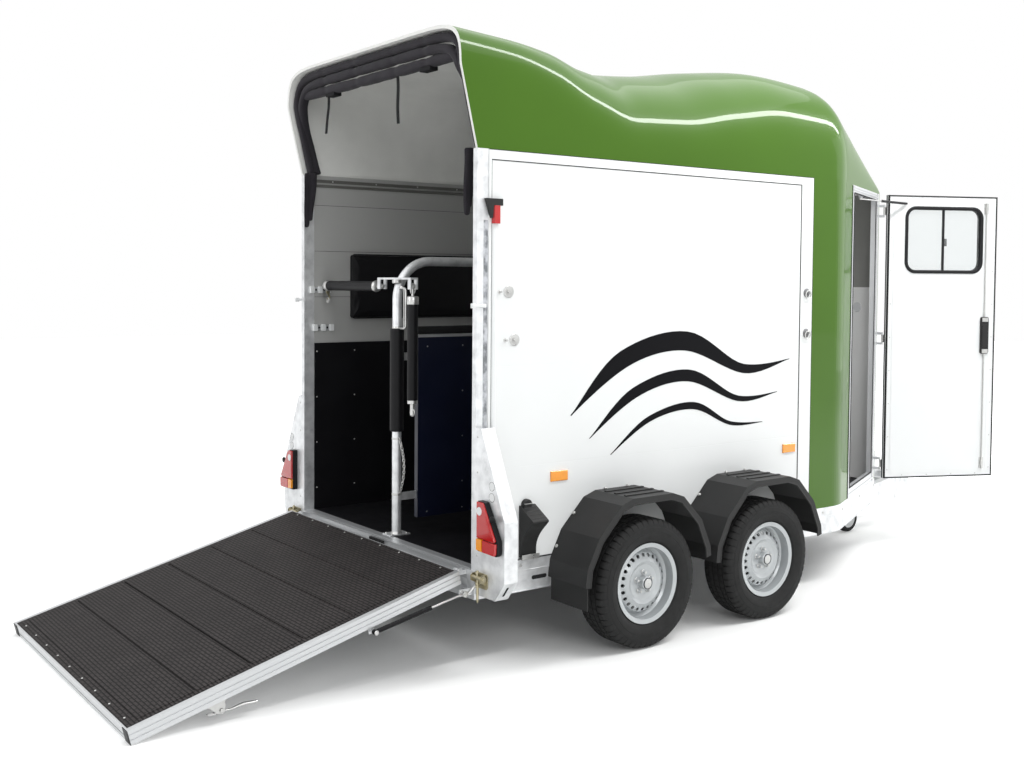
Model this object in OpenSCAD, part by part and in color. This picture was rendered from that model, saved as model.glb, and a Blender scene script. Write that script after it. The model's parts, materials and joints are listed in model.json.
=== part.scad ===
// Two-horse trailer on two braked axles, parked on its wheels and jockey wheel.
// Forward is +X, the left side +Y. Sizes below are measured from the rear frame
// and the ground, and the whole is then set with the coupling's ball at the origin.

/* [Body] */
// Width over the side walls
body_w = 1720; // [1600:10:1900]
// Thickness of the side walls
wall_t = 32; // [24:1:40]
// Length from the rear frame to the nose
body_l = 3650; // [3500:10:3900]
// Front edge of the side panel
side_l = 2345; // [2250:5:2400]
// Side panel's front edge to where the side turns in
corner_gap = 280; // [250:5:320]
// Width of the nose between its corners
nose_w = 772; // [650:2:900]
// Radius of the bend between side and slanted wall
bend_r = 300; // [200:10:400]
// Radius of the nose's corners
nose_r = 90; // [60:5:140]
// Height of the side panels
side_h = 1900; // [1800:10:2000]
// Height of the trim along the panel's top
trim_h = 45; // [30:1:60]
// Width of the trim at the panel's front edge
trim_w = 100; // [60:2:120]
// How far the trims stand out
trim_t = 4; // [2:0.5:6]
// Height of the black kick panels above the floor
kick_h = 960; // [800:10:1100]
// Thickness of the kick panels
kick_t = 6; // [4:1:10]

/* [Roof] */
// Thickness of the roof shell
roof_t = 15; // [10:1:25]
// How far the rear rim leans out over the ramp
rim_rake = 90; // [40:5:120]
// Rise of the roof's crown over the side panels, at the rear
hood_rise = 570; // [500:5:620]
// Depth of the rolled-up canopy along the rear arch
canopy_d = 80; // [50:5:100]
// Length of the rolled-up canopy along the roof
canopy_l = 110; // [80:5:140]

/* [Chassis] */
// Ground to the underside of the rails
rail_low = 312; // [300:2:340]
// Height of the rails
rail_h = 150; // [130:2:170]
// Thickness of the rail's web and flanges
rail_t = 4; // [3:0.5:6]
// How far the floor lies below the rails' top
floor_drop = 18; // [10:1:30]
// Thickness of the floor
floor_t = 20; // [15:1:25]
// Height of the cross members
cross_h = 40; // [30:1:50]
// Width of the cross members
cross_w = 50; // [40:2:60]
// Length of the rear posts and sill along the trailer
post_l = 63; // [50:1:75]

/* [Drawbar] */
// Nose to the coupling's ball
ball_gap = 1100; // [1000:10:1250]
// Ball's height above the ground
ball_h = 430; // [420:2:450]
// Radius of the coupling's mouth
cup_r = 25.25; // [25.1:0.05:25.5]
// Height of the mouth's straight wall
mouth_l = 22; // [18:1:26]
// Height of the drawbar's arms
arm_h = 90; // [80:2:100]
// Width of the drawbar's arms
arm_w = 50; // [40:2:60]
// How far the drawbar's arms reach back under the body
arm_in = 1450; // [1250:10:1500]
// Half the distance of the arms at their rear ends
arm_y = 720; // [680:5:740]

/* [Wheels] */
// Radius of the tyres
tyre_r = 314; // [305:1:325]
// Width of the tyres
tyre_w = 195; // [175:1:205]
// Radius of the rims at the tyre's seat
rim_r = 178; // [165:1:184]
// Rear frame to the rear wheels' hubs
hub_x = 852; // [840:2:880]
// Distance between the axles
axle_gap = 864; // [840:2:900]
// Centreline of the trailer to the middle of a tyre
wheel_y = 1022; // [1010:1:1040]
// Length of the axles' trailing arms
trail_l = 160; // [140:2:180]
// Side of the square axle tubes
axle_s = 80; // [60:2:90]
// Number of vent holes in a rim
vents = 24; // [16:1:24]
// Radius of a vent hole
vent_r = 9; // [6:0.5:10]
// Thickness of the mudguards
guard_t = 5; // [4:0.5:8]
// How far the mudguards reach beyond the tyres
guard_over = 15; // [8:1:30]

/* [Jockey wheel] */
// Nose to the jockey wheel's tube
jockey_gap = 265; // [240:5:300]
// Radius of the jockey wheel
jockey_r = 95; // [90:1:105]
// Width of the jockey wheel
jockey_w = 50; // [40:1:60]
// How far the wheel trails behind its tube
castor = 45; // [35:1:55]
// Outer radius of the jockey wheel's tube
tube_r = 30; // [24:1:35]
// Travel of the jockey wheel
jockey_lift = 200; // [150:5:220]

/* [Ramp] */
// Length of the ramp from its hinge
ramp_l = 1600; // [1500:10:1700]
// Width of the ramp
ramp_w = 1680; // [1550:10:1800]
// Thickness of the ramp
ramp_t = 60; // [50:1:70]
// Width of the ramp's rails
ramp_rail = 60; // [45:1:75]
// Distance of the hinge behind the rear frame
hinge_back = 40; // [36:1:50]
// Height of the hinge below the floor's top
hinge_drop = 9; // [0:1:20]
// Radius of the hinge pins
pin_r = 6; // [5:0.5:7]
// Distance of the strut's eye from the ramp's hinge
strut_at = 514; // [460:2:560]

/* [Door] */
// Width of the door leaf
leaf_w = 790; // [740:5:820]
// Thickness of the door leaf
leaf_t = 30; // [22:1:36]
// Angle at which the door stands open
door_open = 130.6; // [90:0.2:135]
// Width of the doorway
doorway_w = 690; // [640:5:720]
// Width of a window's glass
glass_w = 540; // [450:5:560]
// Height of a window's glass
glass_h = 410; // [350:5:450]

/* [Inside] */
// Radius of the partition's tubes
post_r = 24; // [20:0.5:28]
// Rear frame to the partition's rear post
post_x = 110; // [100:2:130]
// Height of the partition's top rail above the floor
rail_up = 1422; // [1350:5:1480]
// Radius of the bends in the partition's tube
bow_r = 200; // [150:5:250]
// Partition's front post to the side panel's front edge
front_gap = 295; // [200:5:450]
// Radius of the padded bars
bar_r = 30; // [25:1:35]
// Length of a rear bar from its pivot
bar_l = 655; // [620:5:660]
// Distance of the bars' pivots from the partition
pivot_y = 150; // [130:5:170]
// Length of the sleeve on the partition's rear post
sleeve_l = 540; // [400:10:600]
// Length of the head pad
pad_l = 960; // [800:10:1100]
// Height of the head pad
pad_h = 380; // [300:10:450]
// Thickness of the head pad
pad_t = 42; // [30:1:50]

/* [Lamps] */
// How far the lamp plates reach beyond the side
plate_w = 220; // [200:5:240]
// Height of the lamp plates
plate_h = 760; // [700:10:800]
// Height of a tail lamp
lamp_h = 230; // [200:5:250]

/* [Hidden] */
$fn = 48;

// Running clearance of pins, and the gap between soft pieces and what holds them
fit = 0.3;
corner_l = side_l + corner_gap;
front_x = side_l - front_gap;
jockey_x = body_l + jockey_gap;
ball_x = body_l + ball_gap;
arm_x = body_l - arm_in;
side_y = body_w / 2;
in_y = side_y - wall_t;
rail_top = rail_low + rail_h;
side_top = rail_top + side_h;
floor_h = rail_top - floor_drop;
front_hub = hub_x + axle_gap;
tyre_out = wheel_y + tyre_w / 2;
tyre_in = wheel_y - tyre_w / 2;

// The slanted wall of the nose: its angle, and its length from corner to corner
slant = atan((side_y - nose_w / 2) / (body_l - corner_l));
slant_l = (body_l - corner_l) / cos(slant);
bend_x = corner_l - bend_r * tan(slant / 2);
nose_cx = body_l - nose_r;
nose_cy = side_y - (nose_cx - corner_l) * tan(slant) - nose_r / cos(slant);

// Half the body's width at a distance x from the rear frame, set in by t
function half_w(x, t = 0) =
    x <= bend_x ? side_y - t
    : x < bend_x + (bend_r - t) * sin(slant)
        ? side_y - bend_r + sqrt(pow(bend_r - t, 2) - pow(x - bend_x, 2))
    : x < nose_cx + (nose_r - t) * sin(slant)
        ? side_y - (x - corner_l) * tan(slant) - t / cos(slant)
    : nose_cy + sqrt(max(0, pow(nose_r - t, 2) - pow(x - nose_cx, 2)));

// Distances from the rear frame at which the plan is drawn, closer along the bends
function plan_x(t) = concat(
    [for (i = [0:6]) bend_x + (bend_r - t) * sin(slant * i / 6)],
    [for (i = [0:8]) nose_cx + (nose_r - t) * sin(slant + (90 - slant) * i / 8)]);

// The body's plan from x0 forward, set in by t
function plan(x0, t) =
    let (xs = concat([x0], plan_x(t)))
    concat([for (x = xs) [x, half_w(x, t)]],
           [for (i = [len(xs) - 1:-1:0]) [xs[i], -half_w(xs[i], t)]]);

module box(x0, x1, y0, y1, z0, z1) {
    translate([x0, y0, z0]) cube([x1 - x0, y1 - y0, z1 - z0]);
}

module both_sides() {
    children();
    mirror([0, 1, 0]) children();
}

// A round bar of radius r from p to q
module rod(p, q, r) {
    d = q - p;
    flat = norm([d.x, d.y]);
    translate(p) rotate([0, atan2(flat, d.z), atan2(d.y, d.x)]) cylinder(h = norm(d), r = r);
}

// A quarter bend of a round bar, from +X round to +Z
module bow(bend, r) {
    rotate([90, 0, 0]) rotate_extrude(angle = 90) translate([bend, 0]) circle(r);
}

// Sets pieces by the coupling's ball
module on_ball() {
    translate([-ball_x, 0, -ball_h]) children();
}

// Chassis: C-shaped rails round the body's plan, cross members and floor

cross_xs = [330, 640, 1300, 2000, 2500, 3050];

// A band of the rail round the plan, t thick, from the rear posts to the nose
module rail_band(z0, z1, t) {
    translate([0, 0, z0]) linear_extrude(z1 - z0) difference() {
        polygon(plan(post_l, 0));
        polygon(plan(post_l - 1, t));
    }
}

module chassis_frame() color("silver") {
    difference() {
        union() {
            rail_band(rail_low, rail_low + rail_t, wall_t);
            rail_band(rail_low, rail_top, rail_t);
            rail_band(rail_top - rail_t, rail_top, wall_t);
        }
        translate([0, 0, rail_low - 1]) linear_extrude(arm_top - rail_low + 1 + fit) both_arms(fit);
    }
    for (x = cross_xs) box(x, x + cross_w, -half_w(x + cross_w, rail_t), half_w(x + cross_w, rail_t),
                           floor_h - floor_t - cross_h, floor_h - floor_t);
}

module floor_deck() color("dimgray") {
    translate([0, 0, floor_h - floor_t]) linear_extrude(floor_t)
        polygon(plan(post_l, wall_t));
}

// The drawbar's arms run together from the rails to the overrun device

head_x = ball_x - 350;
head_y = 70;
arm_top = floor_h - floor_t - cross_h;
arm_low = arm_top - arm_h;
bridge_x = jockey_x + 190;

function arm_at(x) = arm_y + (head_y - arm_y) * (x - arm_x) / (head_x - arm_x);

// The plan of both arms, grown sideways by g
module both_arms(g = 0) {
    half = arm_w / 2 + g;
    for (s = [-1, 1]) polygon([
        [arm_x, s * (arm_at(arm_x) - half)], [head_x, s * (head_y - half)],
        [head_x + 60, s * (head_y - half)], [head_x + 60, s * (head_y + half)],
        [head_x, s * (head_y + half)], [arm_x, s * (arm_at(arm_x) + half)]]);
}

module drawbar() color("silver") {
    translate([0, 0, arm_low]) linear_extrude(arm_h) both_arms();
    box(bridge_x, bridge_x + 60, -arm_at(bridge_x), arm_at(bridge_x), arm_low + 10, arm_top - 10);
    box(head_x - 60, head_x + 60, -head_y, head_y, arm_top - 8, arm_top);
}

// Axles: a square tube under the rails, with a trailing arm and a stub at each end

axle_z = rail_low - axle_s / 2 - 2;
trail_y = side_y + 14;
trail_t = 28;
stub_r = 20;
drum_r = 115;
drum_in = tyre_in + 12;

module axle(x) color("silver") {
    tube_x = x + trail_l;
    box(tube_x - axle_s / 2, tube_x + axle_s / 2, -side_y + 6, side_y - 6, axle_z - axle_s / 2, axle_z + axle_s / 2);
    both_sides() {
        box(tube_x - 90, tube_x + 90, side_y - 46, side_y, rail_low - 8, rail_low);
        rod([tube_x, side_y - 20, axle_z], [tube_x, trail_y + trail_t, axle_z], 32);
        hull() {
            translate([tube_x, trail_y, axle_z]) rotate([-90, 0, 0]) cylinder(h = trail_t, r = 36, $fn = 32);
            translate([x, trail_y, tyre_r]) rotate([-90, 0, 0]) cylinder(h = trail_t, r = 30, $fn = 32);
        }
        rod([x, trail_y, tyre_r], [x, wheel_y + 30, tyre_r], stub_r);
    }
}

module axle_rear() axle(hub_x);
module axle_front() axle(front_hub);

// Tyre and rim, both turned about their axle

module tyre_form() {
    shoulder = 28;
    half = tyre_w / 2;
    bead = rim_half - 0.5;
    rotate_extrude() polygon([
        [rim_r + fit, -bead], [flange_r + 1, -bead], [flange_r + 8, -half * 0.84], [(rim_r + tyre_r) / 2, -half],
        [tyre_r - shoulder, -half * 0.94], [tyre_r - 8, -half * 0.84], [tyre_r, -half * 0.7],
        [tyre_r, half * 0.7], [tyre_r - 8, half * 0.84], [tyre_r - shoulder, half * 0.94],
        [(rim_r + tyre_r) / 2, half], [flange_r + 8, half * 0.84], [flange_r + 1, bead], [rim_r + fit, bead]]);
}

flange_r = 195;
rim_half = 70;
rim_t = 4;
disc_z = 46;
vent_at = 132;

// A rim lies with its outer face up: barrel with its flanges, dished disc, hub and drum
module rim_form() {
    seat = rim_half;
    well = rim_r - 16;
    drum_z = drum_in - wheel_y;
    rotate_extrude() polygon([
        [flange_r, -seat - 8], [flange_r, -seat - 4], [rim_r, -seat], [rim_r, -24], [well, -10],
        [well, 10], [rim_r, 24], [rim_r, seat], [flange_r, seat + 4], [flange_r, seat + 8],
        [rim_r - rim_t, seat + 4], [rim_r - rim_t, 26], [well - rim_t, 12],
        [well - rim_t, -12], [rim_r - rim_t, -26], [rim_r - rim_t, -seat - 4]]);
    difference() {
        rotate_extrude() polygon([
            [well - 2, -8], [well - 2, 8], [well - 12, 22], [vent_at + 12, 36], [vent_at - 12, 50],
            [104, 58], [86, 48], [60, 45], [60, 40], [88, 43], [104, 53], [vent_at - 14, 45],
            [vent_at + 10, 31], [well - 18, 16], [well - 14, -8]]);
        for (i = [0:vents - 1]) rotate(i * 360 / vents) translate([vent_at, 0, 0])
            cylinder(h = 2 * rim_half, r = vent_r);
    }
    difference() {
        union() {
            translate([0, 0, drum_z]) cylinder(h = 60, r = drum_r);
            translate([0, 0, drum_z]) cylinder(h = 44 - drum_z, r = 64);
            translate([0, 0, 44]) cylinder(h = 30, r = 32);
            translate([0, 0, 74]) cylinder(h = 6, r1 = 32, r2 = 24);
            for (i = [0:4]) rotate(i * 72 + 18) translate([49, 0, 42]) cylinder(h = 18, r = 9.5, $fn = 6);
        }
        translate([0, 0, drum_z - 1]) cylinder(h = 36 - drum_z, r = stub_r + fit);
    }
}

module right_wheel(x) {
    translate([x, -wheel_y, tyre_r]) rotate([90, 0, 0]) children();
}
module left_wheel(x) {
    mirror([0, 1, 0]) right_wheel(x) children();
}

module tyre_rear_right() color("#222222") right_wheel(hub_x) tyre_form();
module tyre_rear_left() color("#222222") left_wheel(hub_x) tyre_form();
module tyre_front_right() color("#222222") right_wheel(front_hub) tyre_form();
module tyre_front_left() color("#222222") left_wheel(front_hub) tyre_form();
module rim_rear_right() color("gainsboro") right_wheel(hub_x) rim_form();
module rim_rear_left() color("gainsboro") left_wheel(hub_x) rim_form();
module rim_front_right() color("gainsboro") right_wheel(front_hub) rim_form();
module rim_front_left() color("gainsboro") left_wheel(front_hub) rim_form();

// Mudguards: one flat-topped arch over each wheel, with a lip and ribs

guard_y = tyre_out + guard_over;
// Outline of an arch about its hub: forward, up
arch = [[-425, 45], [-415, 130], [-345, 265], [-205, 405], [-130, 430],
        [130, 430], [205, 405], [330, 280], [395, 140], [400, 90]];

function inset(p, t) = p * (norm(p) - t) / norm(p);

// A band of the arch w wide, from t0 to t1 below its outline
module arch_band(line, t0, t1, w) {
    rotate([90, 0, 0]) linear_extrude(w)
        polygon(concat([for (p = line) inset(p, t0)],
                       [for (i = [len(line) - 1:-1:0]) inset(line[i], t1)]));
}

module mudguard(x) translate([x, 0, tyre_r]) {
    longer = concat([[-430, 0]], arch, [[405, 40]]);
    difference() {
        translate([0, guard_y, 0]) arch_band(arch, 0, 34, guard_y - side_y);
        translate([0, guard_y - guard_t, 0]) arch_band(longer, guard_t, 60, guard_y - side_y);
    }
    for (y = [side_y + 60, (side_y + guard_y) / 2 - 8, guard_y - 76]) box(-125, 125, y, y + 16, 427, 435);
}

module mudguards_left() color("#2b2b2b") {
    mudguard(hub_x);
    mudguard(front_hub);
    box(hub_x - 414, hub_x - 409, side_y + 10, guard_y - 2, 250, tyre_r + 80);
}
module mudguards_right() mirror([0, 1, 0]) mudguards_left();

// Jockey wheel: a clamped tube, a stem that slides in it, a fork and a wheel

fork_z = 2 * jockey_r + 45;
tube_low = fork_z + jockey_lift + 15;
clamp_z = tube_low + 40;
stem_r = 21;

module jockey_tube() color("silver") {
    difference() {
        union() {
            translate([jockey_x, 0, tube_low]) cylinder(h = 480, r = tube_r);
            translate([jockey_x, 0, clamp_z]) cylinder(h = 70, r = tube_r + 10);
            box(jockey_x, bridge_x + 45, -20, 20, clamp_z + 5, clamp_z + 65);
            box(bridge_x + 10, bridge_x + 45, -45, 45, arm_top - 10, clamp_z + 65);
        }
        translate([jockey_x, 0, tube_low - 1]) cylinder(h = 470, r = stem_r + 0.6);
    }
    translate([jockey_x, 0, tube_low + 480]) cylinder(h = 30, r = 14);
    rod([jockey_x, 0, tube_low + 500], [jockey_x - 120, 0, tube_low + 520], 7);
    rod([jockey_x - 120, 0, tube_low + 512], [jockey_x - 120, 0, tube_low + 620], 9);
}

module jockey_stem() color("silver") {
    translate([jockey_x, 0, fork_z + 6]) cylinder(h = 440, r = stem_r);
}

module jockey_fork() color("silver") {
    leg = jockey_w / 2 + 6;
    wheel_x = jockey_x - castor;
    difference() {
        union() {
            box(wheel_x - 35, jockey_x + 32, -leg - 5, leg + 5, fork_z - 6, fork_z);
            for (s = [-1, 1]) hull() {
                translate([wheel_x, s * leg, jockey_r]) rotate([-s * 90, 0, 0]) cylinder(h = 5, r = 18, $fn = 32);
                translate([wheel_x - 35, min(s * leg, s * (leg + 5)), fork_z - 6]) cube([castor + 60, 5, 6]);
            }
            translate([jockey_x, 0, fork_z]) cylinder(h = 5.7, r = 24);
        }
        translate([wheel_x, -leg - 6, jockey_r]) rotate([-90, 0, 0]) cylinder(h = 2 * leg + 12, r = 8);
    }
    rod([wheel_x, -leg - 10, jockey_r], [wheel_x, leg + 10, jockey_r], 8);
}

module jockey_wheel() color("#2a2a2a") {
    translate([jockey_x - castor, jockey_w / 2, jockey_r]) rotate([90, 0, 0]) rotate_extrude() polygon([
        [8 + fit, 0], [22, 0], [22, 14], [jockey_r * 0.62, 14], [jockey_r * 0.66, 2], [jockey_r - 10, 0],
        [jockey_r, 10], [jockey_r, jockey_w - 10], [jockey_r - 10, jockey_w], [jockey_r * 0.66, jockey_w - 2],
        [jockey_r * 0.62, jockey_w - 14], [22, jockey_w - 14], [22, jockey_w], [8 + fit, jockey_w]]);
}

// Overrun device with its bellows and hand brake, and the ball coupling

module overrun_device() color("silver") {
    shaft_z = ball_h + 10;
    box(head_x - 60, head_x + 60, -60, 60, arm_top, shaft_z + 36);
    rod([head_x - 60, 0, shaft_z], [head_x + 90, 0, shaft_z], 44);
    rod([head_x + 60, 0, shaft_z], [ball_x - 90, 0, shaft_z], 25);
    for (i = [0:5]) rod([head_x + 92 + i * 16, 0, shaft_z], [head_x + 103 + i * 16, 0, shaft_z], 38);
    rod([head_x, -60, shaft_z], [head_x, -86, shaft_z], 20);
    rod([head_x, -78, shaft_z], [head_x + 110, -78, shaft_z + 330], 9);
    rod([head_x + 65, -78, shaft_z + 195], [head_x + 110, -78, shaft_z + 330], 14);
}

module coupling_head() color("#a8a8a8") {
    difference() {
        union() {
            translate([ball_x, 0, ball_h - mouth_l]) cylinder(h = mouth_l, r = cup_r + 11);
            translate([ball_x, 0, ball_h]) sphere(r = cup_r + 11);
            rod([ball_x - 90, 0, ball_h + 10], [ball_x, 0, ball_h + 10], 33);
            translate([ball_x - 50, 0, ball_h + 30]) rotate([0, -20, 0]) box(-30, 60, -14, 14, 0, 14);
        }
        translate([ball_x, 0, ball_h - mouth_l - 1]) cylinder(h = mouth_l + 1, r = cup_r);
        translate([ball_x, 0, ball_h]) sphere(r = cup_r);
        translate([ball_x, 0, ball_h - mouth_l - 60]) cylinder(h = 60, r = 60);
    }
    rod([ball_x - 105, 0, ball_h + 72], [ball_x - 10, 0, ball_h + 48], 12);
}

// Side walls with their trims, kick panels and the rear frame

module wall_left() color("white") {
    box(post_l, side_l, in_y, side_y, rail_top, side_top);
    box(post_l, side_l, side_y, side_y + trim_t, side_top - trim_h, side_top);
    box(side_l - trim_w, side_l, side_y, side_y + trim_t, rail_top, side_top - trim_h);
    box(post_l, post_l + 14, side_y, side_y + trim_t, rail_top, side_top - trim_h);
}
module wall_right() mirror([0, 1, 0]) wall_left();

module kick_panels() color("#1d1d1d") both_sides() {
    box(post_l, side_l, in_y - kick_t, in_y, floor_h, floor_h + kick_h);
}

sill_back = -5;
hinge_y = ramp_w / 2 - 80;

module rear_frame() color("silver") {
    both_sides() {
        box(0, post_l, in_y, side_y, rail_low, side_top);
        box(sill_back, 30, in_y - 24, side_y, rail_low, floor_h);
        box(sill_back, 1, in_y - 24, max(in_y, hinge_y + 44), floor_h - 40, floor_h);
        for (y = [hinge_y, hinge_y + 34]) difference() {
            union() {
                box(-hinge_back, sill_back, y, y + 6, floor_h - hinge_drop - 14, floor_h - hinge_drop + 6);
                translate([-hinge_back, y, floor_h - hinge_drop]) rotate([-90, 0, 0]) cylinder(h = 6, r = 14);
            }
            translate([-hinge_back, y - 1, floor_h - hinge_drop]) rotate([-90, 0, 0]) cylinder(h = 8, r = pin_r);
        }
        rod([-hinge_back, hinge_y - 4, floor_h - hinge_drop], [-hinge_back, hinge_y + 44, floor_h - hinge_drop], pin_r);
        box(strut_foot.x - 16, 1, strut_y - 18, strut_y - 12, strut_foot.y - 16, strut_foot.y + 16);
        box(sill_back, 1, min(in_y - 24, strut_y - 18), max(side_y, strut_y - 12), strut_foot.y - 16, strut_foot.y + 16);
    }
    difference() {
        box(sill_back, post_l, -in_y, in_y, rail_low, floor_h);
        box(sill_back - 1, 22, -in_y - 1, in_y + 1, rail_low + 40, floor_h - 46);
        box(28, post_l + 1, -in_y - 1, in_y + 1, rail_low + 5, floor_h - floor_t);
    }
}

module sill_buffer() color("#222222") {
    box(sill_back - 9, sill_back, -70, 70, floor_h - 44, floor_h - 8);
}

// Roof: sections across the trailer, each half a superellipse over the side panels.
// A section has: its place as a share of the length, its rise as a share of the hood's
// rise, and its squareness
roof_table = [
    [0, 1, 10], [0.0685, 0.974, 8.8], [0.137, 0.958, 5.8], [0.2055, 0.912, 3.8], [0.2877, 0.93, 2.7],
    [0.3836, 0.979, 2.7], [0.4932, 1.077, 3], [0.6027, 1.137, 3.3], [0.6986, 1.098, 3.3],
    [0.7808, 0.972, 2.8], [0.8493, 0.812, 2.4], [0.9041, 0.633, 2.2], [0.9452, 0.46, 2.1],
    [0.9753, 0.281, 2.1], [0.9945, 0.109, 2], [1, 0.035, 2]];
roof_arc = 28;
rake_l = 0.137;
rake_h = 0.65;

// How far the rim leans out: at a share of the length, and at a height z over the panels
function rim_out(share, z) =
    rim_rake * max(0, 1 - share / rake_l) * min(1, z / (rake_h * hood_rise));

// One section's points from the right over the crown to the left, set in by t
function roof_section(row, t) =
    let (x = row[0] * (body_l - t), w = half_w(x, t), rise = row[1] * hood_rise - t)
    [for (j = [0:roof_arc])
        let (a = 180 * j / roof_arc, c = cos(a), s = sin(a),
             z = rise * pow(abs(s), 2 / row[2]))
        [x - rim_out(row[0], z), -w * sign(c) * pow(abs(c), 2 / row[2]), side_top + z]];

module roof() color("olivedrab") {
    rows = len(roof_table);
    cols = roof_arc + 1;
    points = concat([for (row = roof_table) each roof_section(row, 0)],
                    [for (row = roof_table) each roof_section(row, roof_t)]);
    shell = rows * cols;
    last = (rows - 1) * cols;
    skin = [for (i = [0:rows - 2], j = [0:cols - 2])
        let (a = i * cols + j, b = a + cols) each [[a, b, a + 1], [a + 1, b, b + 1]]];
    lining = [for (f = skin) [f[0] + shell, f[2] + shell, f[1] + shell]];
    rim = [for (j = [0:cols - 2]) each [[j, j + 1, j + shell], [j + 1, j + 1 + shell, j + shell]]];
    feet = [for (i = [0:rows - 2])
        let (a = i * cols, b = a + cols, c = a + cols - 1, d = c + cols)
        each [[a, a + shell, b], [b, a + shell, b + shell], [c, d, c + shell], [d, d + shell, c + shell]]];
    nose = [for (j = [1:cols - 2]) each [[last, last + j + 1, last + j],
                                         [last + shell, last + j + shell, last + j + 1 + shell]]];
    sill = [[last, last + shell, last + cols - 1], [last + cols - 1, last + shell, last + cols - 1 + shell]];
    polyhedron(points, concat(skin, lining, rim, feet, nose, sill));
}

// Nose: the green walls ahead of the side panels, with a doorway on the right
// and a window on the left. A slanted wall is drawn along X from its corner.

axis_s = 1042;
axis_off = 40;
door_gap = 8;
leaf_s1 = axis_s - 14;
leaf_s0 = leaf_s1 - leaf_w;
way_s0 = leaf_s0 + (leaf_w - doorway_w) / 2 - 10;
way_s1 = way_s0 + doorway_w;
jamb_s1 = axis_s + 20;
way_z0 = rail_top + 55;
way_z1 = side_top - 48;
frame_w = 48;
glass_z = 1850;
glass_r = 60;

module slanted_right() {
    translate([corner_l, -side_y, 0]) rotate(slant) children();
}
module slanted_left() {
    mirror([0, 1, 0]) slanted_right() children();
}

// A rounded pane w wide and h high, standing along X, d thick to the outside
module pane(s, z, w, h, r, y0, d) {
    translate([s, y0, z]) rotate([90, 0, 0]) linear_extrude(d) union() {
        translate([r, 0]) square([w - 2 * r, h]);
        translate([0, r]) square([w, h - 2 * r]);
        for (x = [r, w - r], y = [r, h - r]) translate([x, y]) circle(r);
    }
}

nose_s = way_s0 + (doorway_w - glass_w) / 2;

module nose_shell() color("olivedrab") {
    difference() {
        translate([0, 0, rail_top]) linear_extrude(side_top - rail_top) difference() {
            polygon(plan(side_l, 0));
            polygon(plan(side_l - 1, wall_t));
        }
        slanted_right() box(way_s0 - frame_w, jamb_s1, -20, wall_t + 20,
                            rail_top - 1, way_z1 + frame_w - 6);
        slanted_left() pane(nose_s, glass_z, glass_w, glass_h, glass_r, wall_t + 20, wall_t + 40);
    }
}

module door_frame() color("lightgray") slanted_right() {
    difference() {
        box(way_s0 - frame_w, jamb_s1, 0, wall_t, rail_top, way_z1 + frame_w - 6);
        box(way_s0, way_s1, -1, wall_t + 1, way_z0, way_z1);
    }
    for (z = hinge_zs, dz = [hinge_half + fit, -hinge_half - fit - 16]) {
        box(axis_s - 2, axis_s + 8, -axis_off, 0, z + dz, z + dz + 16);
        translate([axis_s, -axis_off, z + dz]) cylinder(h = 16, r = 6);
    }
    box(stay_foot.x - 14, stay_foot.x + 14, stay_foot.y - 9, stay_foot.y + 9, stay_z + 6 + fit, way_z1);
}

module nose_window() color("#333333") slanted_left() {
    window_ring(nose_s, glass_z, -10, wall_t + 16);
}

// A window's frame round its glass, with the bar between its panes
module window_ring(s, z, y_out, d) {
    difference() {
        pane(s - 16, z - 16, glass_w + 32, glass_h + 32, glass_r + 16, y_out + 10 - fit, 10 - fit);
        pane(s + 6, z + 6, glass_w - 12, glass_h - 12, glass_r - 6, y_out + 12, 14);
    }
    difference() {
        pane(s + fit, z + fit, glass_w - 2 * fit, glass_h - 2 * fit, glass_r - fit, y_out + d, d - 8);
        pane(s + 6, z + 6, glass_w - 12, glass_h - 12, glass_r - 6, y_out + d + 2, d + 4);
    }
    box(s + glass_w / 2 - 8, s + glass_w / 2 + 8, y_out + 8, y_out + 16, z + 3, z + glass_h - 3);
    pane(s + 5, z + 5, glass_w - 10, glass_h - 10, glass_r - 5, y_out + 16, 5);
}

// Door: drawn shut along the slanted wall, then swung open about its hinge

door_z0 = rail_top + 16;
door_z1 = side_top - 17;

module swung() {
    slanted_right() translate([axis_s, -axis_off, 0]) rotate(door_open)
        translate([-axis_s, axis_off, 0]) children();
}

hinge_half = 25;
hinge_zs = [rail_top + 110, rail_top + 940, side_top - 120];

module door_leaf() color("white") swung() difference() {
    box(leaf_s0, leaf_s1, -door_gap - leaf_t, -door_gap, door_z0, door_z1);
    pane(leaf_s0 + 115, glass_z, glass_w, glass_h, glass_r, 0, leaf_t + 20);
}

module door_window() color("#222222") swung() {
    window_ring(leaf_s0 + 115, glass_z, -door_gap - leaf_t - 10, leaf_t + 20);
}

module door_fittings() color("#303030") swung() {
    box(way_s0 + 8, way_s0 + 70, -door_gap, 14, 1285, 1560);
    rod([way_s0 + 39, 0, way_z0 + 8], [way_s0 + 39, 0, way_z1 - 8], 5);
    for (z = [way_z0 + 8, way_z1 - 88]) box(way_s0 + 24, way_s0 + 54, -door_gap, 8, z, z + 80);
    for (z = hinge_zs) {
        box(leaf_s1 - 60, axis_s, -door_gap - leaf_t - 5, -door_gap - leaf_t, z - hinge_half, z + hinge_half);
        translate([axis_s, -axis_off, z - hinge_half]) cylinder(h = 2 * hinge_half, r = 6);
    }
}

// Stay of the door: a gas cylinder pinned to the leaf, its rod to the doorway's head.
// It is drawn from the leaf's eye towards the foot, both beside the slanted wall.

stay_z = way_z1 - 24;
stay_foot = [520, 10];
stay_r = 130;
stay_in = axis_off - door_gap + 14;
stay_eye = [axis_s - stay_r * cos(door_open) - stay_in * sin(door_open),
            -axis_off - stay_r * sin(door_open) + stay_in * cos(door_open)];
stay_dir = atan2(stay_foot.y - stay_eye.y, stay_foot.x - stay_eye.x);
stay_len = norm(stay_foot - stay_eye);

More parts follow.
